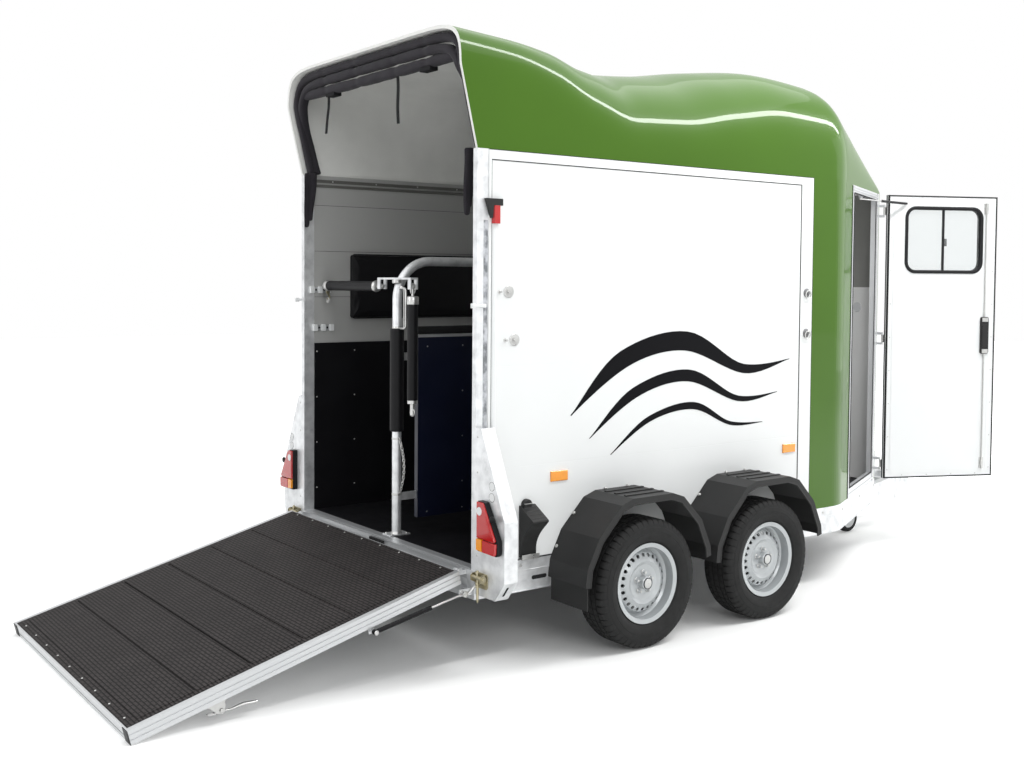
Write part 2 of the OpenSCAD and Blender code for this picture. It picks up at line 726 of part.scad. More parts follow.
module along_stay() {
    slanted_right() translate([stay_eye.x, stay_eye.y, stay_z]) rotate(stay_dir) children();
}

module stay_cylinder() color("#222222") along_stay() difference() {
    union() {
        cylinder(h = 12, r = 8, center = true);
        rod([0, 0, 0], [stay_len * 0.55, 0, 0], 8);
    }
    rod([30, 0, 0], [stay_len, 0, 0], 4 + fit);
}

module stay_rod() color("silver") along_stay() {
    rod([stay_len * 0.52, 0, 0], [stay_len, 0, 0], 4);
    translate([stay_len, 0, 0]) cylinder(h = 12, r = 8, center = true);
}

// Ramp: drawn flat behind its hinge, then sloped down to the ground

ramp_up = 24;
ramp_down = ramp_t - ramp_up;
hinge_z = floor_h - hinge_drop;
ramp_slope = asin(hinge_z / norm([ramp_l, ramp_down])) - atan(ramp_down / ramp_l);
ramp_in = 32;
mat_t = 8;
strut_foot = [-60, 350];
strut_eye_low = 54;

module on_ramp() {
    translate([-hinge_back, 0, hinge_z]) rotate([0, -ramp_slope, 0]) children();
}

module ramp_frame() color("gainsboro") on_ramp() {
    half = ramp_w / 2;
    both_sides() {
        difference() {
            box(-ramp_l, -ramp_in, half - ramp_rail, half, -ramp_down, ramp_up);
            box(-ramp_l - 1, -ramp_in + 1, half - 4, half + 1, -ramp_down + 18, -ramp_down + 24);
            box(-ramp_l - 1, -ramp_in + 1, half - 4, half + 1, ramp_up - 20, ramp_up - 14);
        }
        difference() {
            union() {
                box(-ramp_in - 30, 0, hinge_y + 10, hinge_y + 30, -10, 10);
                translate([0, hinge_y + 10, 0]) rotate([-90, 0, 0]) cylinder(h = 20, r = 14);
            }
            translate([0, hinge_y + 9, 0]) rotate([-90, 0, 0]) cylinder(h = 22, r = pin_r + fit);
        }
        box(-strut_at - 15, -strut_at + 15, half - 22, half - 14, -strut_eye_low - 12, -ramp_down + 2);
        rod([-strut_at, half - 20, -strut_eye_low], [-strut_at, strut_y + 13, -strut_eye_low], 6);
    }
    difference() {
        box(-ramp_l, -ramp_l + ramp_rail, -half + ramp_rail, half - ramp_rail, -ramp_down, ramp_up);
        box(-ramp_l - 1, -ramp_l + 4, -half, half, -ramp_down + 18, -ramp_down + 24);
    }
    box(-ramp_in - 40, -ramp_in, -half + ramp_rail, half - ramp_rail, -ramp_down, ramp_up);
    box(-ramp_l + ramp_rail, -ramp_in - 40, -half + ramp_rail, half - ramp_rail, ramp_up - 28, ramp_up - mat_t);
    for (x = [-1200, -800, -400]) box(x - 25, x + 25, -half + ramp_rail, half - ramp_rail, -ramp_down + 4, ramp_up - 28);
}

module ramp_mat() color("#333333") on_ramp() {
    half = ramp_w / 2 - ramp_rail;
    seam = (ramp_l - ramp_rail - ramp_in - 40) / 6;
    difference() {
        box(-ramp_l + ramp_rail, -ramp_in - 40, -half, half, ramp_up - mat_t, ramp_up + 3);
        for (i = [1:5]) box(-ramp_l + ramp_rail + i * seam - 5, -ramp_l + ramp_rail + i * seam + 5,
                            -half - 1, half + 1, ramp_up - 2, ramp_up + 4);
    }
}

// Latches under the ramp's rails: a foot, two cheeks with a pin, and the lever's handle
latch_x = -1232;

module ramp_fittings() color("silver") on_ramp() both_sides() {
    y = ramp_w / 2 - 18;
    low = -ramp_down - 38;
    box(latch_x - 58, latch_x + 27, y - 16, y + 16, -ramp_down - 4, -ramp_down);
    for (s = [-13, 9]) hull() {
        box(latch_x - 50, latch_x + 20, y + s, y + s + 4, -ramp_down - 4, -ramp_down - 3);
        translate([latch_x, y + s, low]) rotate([-90, 0, 0]) cylinder(h = 4, r = 14);
    }
    rod([latch_x, y - 17, low], [latch_x, y + 17, low], 6);
    rod([latch_x, y, low], [latch_x + 154, y, low - 38], 7);
}

// Gas struts beside the ramp's rails: the cylinder is pinned to the ramp, and the rod's
// stud turns on a plate of the rear frame. They are drawn from the ramp's eye to the foot.

strut_y = ramp_w / 2 + 16;
strut_eye = [-hinge_back - strut_at * cos(ramp_slope) + strut_eye_low * sin(ramp_slope),
             hinge_z - strut_at * sin(ramp_slope) - strut_eye_low * cos(ramp_slope)];
strut_dir = atan2(strut_foot.y - strut_eye.y, strut_foot.x - strut_eye.x);
strut_len = norm(strut_eye - strut_foot);

module along_strut() both_sides() {
    translate([strut_eye.x, strut_y, strut_eye.y]) rotate([0, -strut_dir, 0]) children();
}

module strut_cylinders() color("#222222") along_strut() difference() {
    union() {
        rotate([90, 0, 0]) cylinder(h = 16, r = 12, center = true);
        rod([0, 0, 0], [strut_len * 0.62, 0, 0], 10);
    }
    rod([24, 0, 0], [strut_len, 0, 0], 5 + fit);
    rotate([90, 0, 0]) cylinder(h = 26, r = 6 + fit, center = true);
}

module strut_rods() color("silver") along_strut() {
    rod([strut_len * 0.1, 0, 0], [strut_len, 0, 0], 5);
    translate([strut_len, 6, 0]) rotate([90, 0, 0]) cylinder(h = 18 - fit, r = 10);
}

// Partition: a bent tube with posts at both ends, and the panel it carries

top_z = floor_h + rail_up;
panel_x = post_x + 120;
panel_z0 = floor_h + 76;
panel_z1 = floor_h + 1036;
panel_t = 30;
pivot_z = floor_h + 1290;
lug_x = 16;

module partition_frame() color("silver") {
    rod([post_x, 0, floor_h], [post_x, 0, top_z - bow_r], post_r);
    translate([post_x + bow_r, 0, top_z - bow_r]) mirror([1, 0, 0]) bow(bow_r, post_r);
    rod([post_x + bow_r, 0, top_z], [front_x - bow_r, 0, top_z], post_r);
    translate([front_x - bow_r, 0, top_z - bow_r]) bow(bow_r, post_r);
    rod([front_x, 0, floor_h], [front_x, 0, top_z - bow_r], post_r);
    for (x = [post_x, front_x]) box(x - 60, x + 60, -40, 40, floor_h, floor_h + 6);
    for (z = [panel_z0 + 100, panel_z1 - 130]) {
        box(post_x, panel_x, -4, 4, z, z + 40);
        box(front_x - 120, front_x, -4, 4, z, z + 40);
    }
    arm_z = pivot_z + bar_r + 6;
    box(post_x - lug_x - 6, post_x + lug_x + 6, -pivot_y - 14, pivot_y + 14, arm_z, arm_z + 10);
    for (y = [-pivot_y, pivot_y]) {
        for (x = [-lug_x - 6, lug_x]) box(post_x + x, post_x + x + 6, y - 14, y + 14, pivot_z - 14, arm_z);
        rod([post_x - lug_x - 6, y, pivot_z], [post_x + lug_x + 6, y, pivot_z], 5);
    }
}

module partition_panel() color("#15203a") {
    box(panel_x, front_x - 120, -panel_t / 2, panel_t / 2, panel_z0, panel_z1);
}

// Soft pads: the sleeve on the rear post and the head pad on the left wall
sleeve_z = floor_h + 536;
pad_x = post_x + 180;
pad_z = floor_h + 1096;

module pads() color("#1a1a1a") {
    difference() {
        rod([post_x, 0, sleeve_z], [post_x, 0, sleeve_z + sleeve_l], post_r + 16);
        rod([post_x, 0, sleeve_z - 10], [post_x, 0, sleeve_z + sleeve_l + 10], post_r + fit);
        box(post_x, post_x + post_r + 36, -8, 8, panel_z1 - 134, panel_z1 - 86);
    }
    box(pad_x, pad_x + pad_l, in_y - pad_t, in_y - fit, pad_z, pad_z + pad_h);
}

breast_z = floor_h + 806;

module breast_bars() color("#1a1a1a") both_sides() {
    rod([front_x, post_r + fit, breast_z], [front_x, in_y - kick_t - fit, breast_z], bar_r);
}

// Rear bars: padded, pivoted beside the partition. The left one is latched across
// its stall and the right one hangs down.

module rear_bar() {
    translate([post_x, 0, 0]) {
        difference() {
            rotate([0, 90, 0]) cylinder(h = 14, r = 13, center = true);
            rotate([0, 90, 0]) cylinder(h = 20, r = 5 + fit, center = true);
        }
        rod([0, 12, 0], [0, 60, 0], 7);
        rod([0, 60, 0], [0, bar_l - 70, 0], bar_r);
        rod([0, bar_l - 70, 0], [0, bar_l, 0], 12);
    }
}

module rear_bar_left() color("#1a1a1a") translate([0, pivot_y, pivot_z]) rear_bar();
module rear_bar_right() color("#1a1a1a") translate([0, -pivot_y, pivot_z]) rotate([-90, 0, 0]) rear_bar();

// Canopy, rolled up along the rear arch and inside its rim. Points of the arch, set in by t
function arch_line(t) = [for (j = [0:36]) let (a = 180 * j / 36)
    [(side_y - t) * sign(cos(a)) * pow(abs(cos(a)), 0.2), (hood_rise - t) * pow(sin(a), 0.2)]];

module canopy() color("#151515") {
    outer = arch_line(roof_t + 14);
    inner = arch_line(roof_t + canopy_d);
    points = [for (j = [0:36]) let (o = outer[j], i = inner[j], x = 20 - rim_out(0, o.y)) each [
        [x, o.x, side_top + o.y], [x + canopy_l, o.x, side_top + o.y],
        [x + canopy_l, i.x, side_top + i.y], [x, i.x, side_top + i.y]]];
    sides = [for (j = [0:35], k = [0:3]) let (a = 4 * j + k, b = 4 * j + (k + 1) % 4)
        each [[a, b, a + 4], [b, b + 4, a + 4]]];
    polyhedron(points, concat(sides, [[3, 2, 1, 0], [144, 145, 146, 147]]));
}

// Fittings on the walls

// Tie rings: distance from the rear, height over the rails
rings = [[168, 1258], [205, 1032], [side_l - 50, 1247], [side_l - 50, 1019]];

module tie_ring(x, z) {
    y = x > side_l - trim_w ? side_y + trim_t : side_y;
    translate([x, y, z]) rotate([-90, 0, 0]) cylinder(h = 6, r = 32);
    translate([x, y + 12, z - 20]) rotate([80, 0, 0]) rotate_extrude() translate([24, 0]) circle(4);
    translate([x, y, z]) rotate([-90, 0, 0]) cylinder(h = 18, r = 8);
}

module wall_fittings() color("silver") {
    both_sides() {
        for (r = rings) tie_ring(r[0], rail_top + r[1]);
        for (z = [1238, 1033]) box(80, 200, in_y - 6, in_y, rail_top + z - 22, rail_top + z + 22);
        box(20, 60, side_y, side_y + 14, rail_top + 1298, rail_top + 1318);
    }
}

// Plates beside the rear frame that carry the lamps. Points: beyond the side, height
plate_y = side_y + plate_w;
plate_z = rail_low + 28;
plate_rim = [[side_y + 40, plate_z + plate_h], [plate_y, plate_z + plate_h - 400],
             [plate_y, plate_z + 90], [plate_y - 70, plate_z]];

module lamp_guards() color("silver") both_sides() {
    translate([4, 0, 0]) rotate([90, 0, -90]) linear_extrude(4)
        polygon(concat([[side_y, plate_z], [side_y, plate_z + plate_h]], plate_rim));
    translate([74, 0, 0]) rotate([90, 0, -90]) linear_extrude(70)
        polygon(concat(plate_rim, [[plate_y - 72, plate_z + 5], [plate_y - 4, plate_z + 93],
                                   [plate_y - 4, plate_z + plate_h - 401], [side_y + 37, plate_z + plate_h - 4]]));
}

lamp_z = rail_top + 88;
marker_z = side_top - 337;
reflector_z = rail_top + 350;

module lamps() color("#b01818") both_sides() {
    rotate([90, 0, -90]) linear_extrude(40) polygon([
        [side_y + 55, lamp_z], [plate_y - 15, lamp_z], [plate_y - 15, lamp_z + 70],
        [side_y + 100, lamp_z + lamp_h], [side_y + 55, lamp_z + lamp_h]]);
    box(post_l + 14, post_l + 47, side_y, side_y + 24, marker_z, marker_z + 115);
    for (x = [hub_x - 416, side_l - 233]) box(x, x + 106, side_y, side_y + 8, reflector_z, reflector_z + 50);
}

chock_x = 249;
chock_l = 95;
chock_z = rail_top + 13;

// A chock hangs on the side panel: its outline is drawn as (outwards, up)
module wheel_chocks() color("#222222") both_sides() {
    translate([chock_x, side_y, chock_z]) rotate([90, 0, 90]) linear_extrude(chock_l)
        polygon([[0, 0], [14, 0], [14, 53], [27, 76], [44, 104], [64, 132], [90, 160], [108, 178], [104, 186], [0, 245]]);
    translate([chock_x + 38, side_y, chock_z + 246]) rotate([-90, 0, 0]) cylinder(h = 24, r = 26);
}

on_ball() chassis_frame();
on_ball() drawbar();
on_ball() axle_rear();
on_ball() axle_front();
on_ball() tyre_rear_right();
on_ball() tyre_rear_left();
on_ball() tyre_front_right();
on_ball() tyre_front_left();
on_ball() rim_rear_right();
on_ball() rim_rear_left();
on_ball() rim_front_right();
on_ball() rim_front_left();
on_ball() mudguards_right();
on_ball() mudguards_left();
on_ball() jockey_tube();
on_ball() jockey_stem();
on_ball() jockey_fork();
on_ball() jockey_wheel();
on_ball() overrun_device();
on_ball() coupling_head();
on_ball() floor_deck();
on_ball() wall_right();
on_ball() wall_left();
on_ball() kick_panels();
on_ball() rear_frame();
on_ball() sill_buffer();
on_ball() roof();
on_ball() nose_shell();
on_ball() door_frame();
on_ball() door_leaf();
on_ball() door_window();
on_ball() door_fittings();
on_ball() stay_cylinder();
on_ball() stay_rod();
on_ball() nose_window();
on_ball() ramp_frame();
on_ball() ramp_mat();
on_ball() ramp_fittings();
on_ball() strut_cylinders();
on_ball() strut_rods();
on_ball() partition_frame();
on_ball() partition_panel();
on_ball() pads();
on_ball() breast_bars();
on_ball() rear_bar_left();
on_ball() rear_bar_right();
on_ball() canopy();
on_ball() wall_fittings();
on_ball() lamp_guards();
on_ball() lamps();
on_ball() wheel_chocks();
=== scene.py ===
# %% [markdown]
# A two-horse trailer
#
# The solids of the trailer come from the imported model. They are loaded first and never moved.
# Every piece below is measured from the trailer's rear frame and from the ground, as a workshop
# would, and `REAR` carries it over to the frame of the solids, whose origin is the coupling's ball.

# %% Load the solids
import json
import math

import bmesh
import bpy
from mathutils import Matrix, Vector, noise


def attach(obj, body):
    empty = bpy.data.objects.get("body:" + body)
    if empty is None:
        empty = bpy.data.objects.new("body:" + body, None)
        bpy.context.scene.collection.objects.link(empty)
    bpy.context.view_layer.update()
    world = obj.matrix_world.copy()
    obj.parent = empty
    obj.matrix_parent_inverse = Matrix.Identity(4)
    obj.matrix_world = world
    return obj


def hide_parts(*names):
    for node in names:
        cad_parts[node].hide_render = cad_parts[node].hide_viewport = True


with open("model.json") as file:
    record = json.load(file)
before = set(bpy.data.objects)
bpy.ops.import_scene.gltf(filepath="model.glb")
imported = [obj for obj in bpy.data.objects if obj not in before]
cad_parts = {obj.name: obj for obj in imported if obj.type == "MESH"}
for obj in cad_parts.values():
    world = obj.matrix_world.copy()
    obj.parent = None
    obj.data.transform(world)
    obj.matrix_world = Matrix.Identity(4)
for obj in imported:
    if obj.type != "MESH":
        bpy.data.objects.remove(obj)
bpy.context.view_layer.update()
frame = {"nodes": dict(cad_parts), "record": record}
nodes = frame["nodes"]
scene = bpy.context.scene
REAR = Vector((-4.75, 0.0, -0.43))

# %% [markdown]
# The camera
#
# The picture was taken from behind and to the right of the trailer, a little above hip height.
# Its place, its three angles and its lens come from a fit of the wheels, the side panel and the
# ramp. The sheet was cropped off centre, which is what the two shifts undo.

# %% Camera
YAW, PITCH, ROLL = math.radians(54.46), math.radians(-2.22), math.radians(0.34)
ahead = Vector((math.cos(PITCH) * math.cos(YAW), math.cos(PITCH) * math.sin(YAW), math.sin(PITCH)))
level = Vector((math.sin(YAW), -math.cos(YAW), 0.0))
upward = level.cross(ahead)
right = math.cos(ROLL) * level + math.sin(ROLL) * upward
top = math.cos(ROLL) * upward - math.sin(ROLL) * level

camera_data = bpy.data.cameras.new("camera")
camera_data.lens = 40.39
camera_data.sensor_width = 36.0
camera_data.shift_x = 0.0366
camera_data.shift_y = -0.0562
camera = bpy.data.objects.new("camera", camera_data)
camera.matrix_world = Matrix((
    (right.x, top.x, -ahead.x, -3.019 + REAR.x),
    (right.y, top.y, -ahead.y, -5.07 + REAR.y),
    (right.z, top.z, -ahead.z, 1.76 + REAR.z),
    (0, 0, 0, 1)))
scene.collection.objects.link(camera)
scene.camera = camera
print("camera at", [round(v, 3) for v in camera.matrix_world.translation])

# %% [markdown]
# Studio
#
# The room is a white hall with soft light from above and from the camera's side. A plain world
# gives the even part of the light. Rays that the camera, glass or a glossy face sends out see a
# whiter world than the one that lights the trailer, so the background and its reflections are
# white and the paint isn't burnt out.

# %% World and lamps
EVEN_LIGHT = 0.36
SEEN_BY = ("Is Camera Ray", "Is Transmission Ray", "Is Glossy Ray")


def looked_at(tree, path):
    """One for the rays that the eye, glass and glossy faces send out, and nought for the rest."""
    found = path.outputs[SEEN_BY[0]]
    for kind in SEEN_BY[1:]:
        either = tree.nodes.new("ShaderNodeMath")
        either.operation = "MAXIMUM"
        tree.links.new(found, either.inputs[0])
        tree.links.new(path.outputs[kind], either.inputs[1])
        found = either.outputs[0]
    return found


world = bpy.data.worlds.new("hall")
scene.world = world
world.use_nodes = True
sky = world.node_tree
sky.nodes.clear()
path = sky.nodes.new("ShaderNodeLightPath")
even = sky.nodes.new("ShaderNodeBackground")
even.inputs["Color"].default_value = (0.93, 0.97, 1.0, 1)
even.inputs["Strength"].default_value = EVEN_LIGHT
white = sky.nodes.new("ShaderNodeBackground")
white.inputs["Color"].default_value = (1, 1, 1, 1)
white.inputs["Strength"].default_value = 1.0
pick = sky.nodes.new("ShaderNodeMixShader")
world_out = sky.nodes.new("ShaderNodeOutputWorld")
sky.links.new(looked_at(sky, path), pick.inputs[0])
sky.links.new(even.outputs[0], pick.inputs[1])
sky.links.new(white.outputs[0], pick.inputs[2])
sky.links.new(pick.outputs[0], world_out.inputs[0])


def softbox(name, place, target, width, height, watts, tint=(1, 1, 1)):
    """A rectangular studio lamp that looks at a point."""
    lamp = bpy.data.lights.new(name, "AREA")
    lamp.shape = "RECTANGLE"
    lamp.size, lamp.size_y = width, height
    lamp.energy = watts
    lamp.color = tint
    obj = bpy.data.objects.new(name, lamp)
    obj.location = Vector(place) + REAR
    obj.rotation_euler = (Vector(target) - Vector(place)).to_track_quat("-Z", "Y").to_euler()
    scene.collection.objects.link(obj)
    return obj


softbox("ceiling", (1.0, -0.5, 6.4), (1.2, 0, 0), 12.0, 9.0, 400)
softbox("shoulder", (5.2, -2.75, 5.0), (5.2, -0.8, 2.4), 8.5, 0.42, 280)
softbox("front", (12.0, -3.0, 3.0), (3.0, -0.6, 1.8), 7.0, 5.0, 120)
softbox("side", (-1.5, -7.5, 4.2), (1.5, 0, 1.2), 5.0, 3.2, 180)
softbox("rear", (-7.0, 1.0, 3.6), (0, 0, 1.2), 3.6, 3.0, 150)
scene.view_settings.view_transform = "Standard"

# %% [markdown]
# Finishes
#
# Each finish is one Principled shader with small textures for what the hand would feel: the
# orange peel of gel coat, the spangle of zinc, the grain of moulded plastic. `Finish` keeps the
# wiring short. Textures use object coordinates, so they stay put on a part that moves.

# %% A helper for finishes
class Finish:
    """One material: a shader, and textures that feed its colour, roughness and bump."""

    def __init__(self, name, colour, rough=0.5, metal=0.0, **sockets):
        self.material = bpy.data.materials.new(name)
        self.material.use_nodes = True
        self.tree = self.material.node_tree
        self.shader = self.tree.nodes["Principled BSDF"]
        self.shader.inputs["Base Color"].default_value = (*colour, 1)
        self.shader.inputs["Roughness"].default_value = rough
        self.shader.inputs["Metallic"].default_value = metal
        for socket, value in sockets.items():
            self.shader.inputs[socket.replace("_", " ")].default_value = value
        self.material.diffuse_color = (*colour, 1)
        self.colour = (*colour, 1)
        self.coords = self.tree.nodes.new("ShaderNodeTexCoord").outputs["Object"]
        self.normal = None

    def node(self, kind, **inputs):
        n = self.tree.nodes.new(kind)
        for key, value in inputs.items():
            socket = n.inputs[int(key[1:])] if key[0] == "i" and key[1:].isdigit() else n.inputs[key]
            if isinstance(value, bpy.types.NodeSocket):
                self.tree.links.new(value, socket)
            else:
                socket.default_value = value
        return n

    def stretched(self, x, y, z):
        """Object coordinates, scaled along each axis."""
        return self.node("ShaderNodeMapping", Vector=self.coords, Scale=(x, y, z)).outputs[0]

    def noise(self, scale, detail=3.0, coords=None):
        return self.node("ShaderNodeTexNoise", Vector=coords or self.coords, Scale=scale,
                         Detail=detail).outputs["Fac"]

    def cells(self, scale):
        return self.node("ShaderNodeTexVoronoi", Vector=self.coords, Scale=scale).outputs["Color"]

    def ramp(self, fac, low, high):
        """0 below low, 1 above high."""
        n = self.node("ShaderNodeMapRange", Value=fac)
        n.inputs["From Min"].default_value = low
        n.inputs["From Max"].default_value = high
        return n.outputs[0]

    def mix(self, fac, a, b):
        n = self.tree.nodes.new("ShaderNodeMix")
        n.data_type = "RGBA"
        for i, value in ((0, fac), (6, a), (7, b)):
            if isinstance(value, bpy.types.NodeSocket):
                self.tree.links.new(value, n.inputs[i])
            else:
                n.inputs[i].default_value = value if i == 0 else (*value[:3], 1)
        return n.outputs[2]

    def paint(self, colour):
        self.tree.links.new(colour, self.shader.inputs["Base Color"])
        return self

    def shade(self, fac, dark, light=1.0):
        """The finish's own colour, varied between two shares of it."""
        c = self.colour
        return self.paint(self.mix(fac, [v * dark for v in c[:3]], [min(1, v * light) for v in c[:3]]))

    def gloss(self, fac, low, high):
        n = self.node("ShaderNodeMapRange", Value=fac)
        n.inputs["To Min"].default_value = low
        n.inputs["To Max"].default_value = high
        self.tree.links.new(n.outputs[0], self.shader.inputs["Roughness"])
        return self

    def bump(self, height, strength, depth):
        n = self.node("ShaderNodeBump", Strength=strength, Distance=depth, Height=height)
        if self.normal is not None:
            self.tree.links.new(self.normal, n.inputs["Normal"])
        self.normal = n.outputs[0]
        self.tree.links.new(self.normal, self.shader.inputs["Normal"])
        return self


# %% [markdown]
# Body finishes
#
# The moulded roof and nose are coloured gel coat: a clear, wet-looking green with a faint
# orange peel. Inside, the same moulding is left pale grey. The side panels are planks with a
# smooth white skin outside and grey inside, so one finish looks at which side it is on.

# %% Gel coat, panels and lining
green = Finish("green_gel_coat", (0.05, 0.124, 0.007), 0.3, Coat_Weight=0.38, Coat_Roughness=0.03,
               Specular_IOR_Level=0.06)
green.shade(green.noise(1.6, 2), 0.9, 1.08).bump(green.noise(95, 2), 0.05, 0.0006)

lining = Finish("pale_lining", (0.8, 0.8, 0.77), 0.62)
lining.shade(lining.noise(7, 4), 0.9, 1.06).bump(lining.noise(420, 2), 0.25, 0.0006)

panel = Finish("white_panel", (0.8, 0.81, 0.81), 0.26, Coat_Weight=0.12, Coat_Roughness=0.08,
               Specular_IOR_Level=0.2)
axes = panel.node("ShaderNodeSeparateXYZ", Vector=panel.coords)
across = panel.node("ShaderNodeMath", i0=axes.outputs["Y"])
across.operation = "ABSOLUTE"
outside = panel.ramp(across.outputs[0], 0.8285, 0.829)
panel.paint(panel.mix(outside, (0.4, 0.4, 0.39), panel.mix(panel.noise(2.2, 2), (0.73, 0.74, 0.735),
                                                           (0.78, 0.79, 0.785))))
plank = panel.node("ShaderNodeMath", i0=axes.outputs["Z"], i1=0.236)
plank.operation = "PINGPONG"
panel.bump(panel.ramp(plank.outputs[0], 0.0, 0.0025), 0.35, 0.0012).bump(panel.noise(160, 2), 0.03, 0.0005)

leaf_white = Finish("white_leaf", (0.74, 0.75, 0.75), 0.3, Coat_Weight=0.1, Coat_Roughness=0.1,
                    Specular_IOR_Level=0.2)
leaf_white.shade(leaf_white.noise(2.5, 2), 0.95, 1.03).bump(leaf_white.noise(180, 2), 0.04, 0.0005)
print("body finishes ready")

# %% [markdown]
# Metals
#
# The chassis is hot-dip galvanised: dull grey zinc whose crystals show as a mottle. Extruded
# aluminium has fine streaks along its length. Small fittings are bright zinc plate, and a few
# are passivated yellow.

# %% Zinc, aluminium and plated steel
galvanised = Finish("galvanised_steel", (0.52, 0.53, 0.54), 0.42, 0.7)
flakes = galvanised.cells(42)
galvanised.paint(galvanised.mix(galvanised.ramp(galvanised.noise(19, 5), 0.34, 0.64),
                                galvanised.mix(flakes, (0.54, 0.55, 0.56), (0.64, 0.65, 0.66)),
                                (0.76, 0.77, 0.78)))
galvanised.gloss(galvanised.noise(30, 4), 0.3, 0.62).bump(galvanised.noise(60, 5), 0.1, 0.0008)

aluminium = Finish("extruded_aluminium", (0.58, 0.59, 0.6), 0.36, 0.6)
streaks = aluminium.noise(3, 3, aluminium.stretched(2, 160, 160))
aluminium.shade(streaks, 0.9, 1.06).gloss(streaks, 0.26, 0.42).bump(streaks, 0.06, 0.0004)

zinc = Finish("zinc_plate", (0.54, 0.54, 0.53), 0.28, 0.85)
zinc.shade(zinc.noise(55, 4), 0.82, 1.06).gloss(zinc.noise(40, 3), 0.2, 0.42)

yellow_zinc = Finish("yellow_passivated", (0.42, 0.38, 0.26), 0.34, 0.9)
yellow_zinc.shade(yellow_zinc.noise(45, 4), 0.8, 1.1)

rim_paint = Finish("silver_rim_paint", (0.44, 0.46, 0.47), 0.3, 0.25, Coat_Weight=0.2, Coat_Roughness=0.1)
rim_paint.shade(rim_paint.noise(12, 3), 0.93, 1.04).bump(rim_paint.noise(240, 2), 0.03, 0.0004)

cast_iron = Finish("cast_steel", (0.17, 0.17, 0.175), 0.55, 0.55)
cast_iron.shade(cast_iron.noise(30, 4), 0.8, 1.15).bump(cast_iron.noise(220, 3), 0.2, 0.0008)

# %% [markdown]
# Rubber, plastics and cloth
#
# Nearly everything dark is a different black: the tyres are dull and warm, the mudguards have
# a fine pressed grain, the pads are vinyl with a leather print, and the canopy is woven.

# %% Blacks
tyre_rubber = Finish("tyre_rubber", (0.022, 0.022, 0.022), 0.6, Specular_IOR_Level=0.1)
tyre_rubber.shade(tyre_rubber.noise(26, 4), 0.75, 1.35).gloss(tyre_rubber.noise(50, 3), 0.52, 0.74)
tyre_rubber.bump(tyre_rubber.noise(380, 2), 0.12, 0.0005)

guard_plastic = Finish("pressed_black_plastic", (0.026, 0.026, 0.026), 0.44, Specular_IOR_Level=0.15)
guard_plastic.shade(guard_plastic.noise(9, 3), 0.85, 1.15).bump(guard_plastic.noise(700, 2), 0.3, 0.0005)

mat_rubber = Finish("ribbed_rubber_mat", (0.05, 0.048, 0.048), 0.58, Specular_IOR_Level=0.08)
mat_rubber.shade(mat_rubber.noise(7, 4), 0.72, 1.4)
lengthwise = mat_rubber.node("ShaderNodeMapping", Vector=mat_rubber.coords,
                             Rotation=(0, 0, math.pi / 2)).outputs[0]
bars = mat_rubber.node("ShaderNodeTexBrick", Vector=lengthwise, Scale=1.0, Color1=(1, 1, 1, 1),
                       Color2=(1, 1, 1, 1),
                       Mortar=(0, 0, 0, 1))
for socket, value in (("Mortar Size", 0.0035), ("Mortar Smooth", 0.5), ("Brick Width", 0.045),
                      ("Row Height", 0.016)):
    bars.inputs[socket].default_value = value
# The grooves between the bars get a near black and the bars a tone that varies at random: the dark grooves are
# painted shade.
worn = mat_rubber.mix(mat_rubber.noise(7, 4), (0.03, 0.027, 0.027), (0.062, 0.055, 0.054))
mat_rubber.paint(mat_rubber.mix(bars.outputs["Color"], (0.014, 0.013, 0.013),
                                worn)).bump(bars.outputs["Color"], 1.0, 0.005)
mat_rubber.bump(mat_rubber.noise(260, 3), 0.25, 0.0006)

kick_black = Finish("black_kick_panel", (0.006, 0.006, 0.007), 0.36, Specular_IOR_Level=0.12)
kick_black.shade(kick_black.noise(5, 4), 0.7, 1.5).gloss(kick_black.noise(8, 4), 0.3, 0.55)
kick_black.bump(kick_black.noise(150, 3), 0.1, 0.0006)

navy = Finish("navy_panel", (0.004, 0.006, 0.02), 0.3)
navy.shade(navy.noise(4, 4), 0.8, 1.4).gloss(navy.noise(9, 4), 0.28, 0.5)

vinyl = Finish("padded_vinyl", (0.007, 0.007, 0.008), 0.46, Specular_IOR_Level=0.15)
vinyl.shade(vinyl.noise(14, 4), 0.8, 1.3)
vinyl.bump(vinyl.node("ShaderNodeTexVoronoi", Vector=vinyl.coords, Scale=480.0).outputs["Distance"], 0.22,
           0.0007)

canvas = Finish("canopy_cloth", (0.022, 0.02, 0.024), 0.82, Specular_IOR_Level=0.15, Sheen_Weight=0.08,
                Sheen_Roughness=0.5)
warp = canvas.node("ShaderNodeTexWave", Vector=canvas.coords, Scale=190.0)
weft = canvas.node("ShaderNodeTexWave", Vector=canvas.coords, Scale=190.0)
weft.bands_direction = "Z"
canvas.shade(canvas.noise(9, 4), 0.7, 1.5)
canvas.bump(warp.outputs["Fac"], 0.25, 0.0006).bump(weft.outputs["Fac"], 0.25, 0.0006)

black_plastic = Finish("smooth_black_plastic", (0.009, 0.009, 0.01), 0.38, Specular_IOR_Level=0.12)
black_plastic.shade(black_plastic.noise(12, 3), 0.8, 1.25).bump(black_plastic.noise(330, 2), 0.1, 0.0004)

seal = Finish("rubber_seal", (0.016, 0.016, 0.017), 0.6, Specular_IOR_Level=0.12)
seal.shade(seal.noise(40, 3), 0.8, 1.2)

web = Finish("webbing", (0.01, 0.01, 0.011), 0.75, Specular_IOR_Level=0.12)
web.bump(web.node("ShaderNodeTexWave", Vector=web.coords, Scale=240.0).outputs["Fac"], 0.4, 0.0006)

# %% [markdown]
# Lenses and glass
#
# Lamp lenses are moulded acrylic with fine flutes. The panes are tinted acrylic, which lets the
# hall behind them show a little darker.

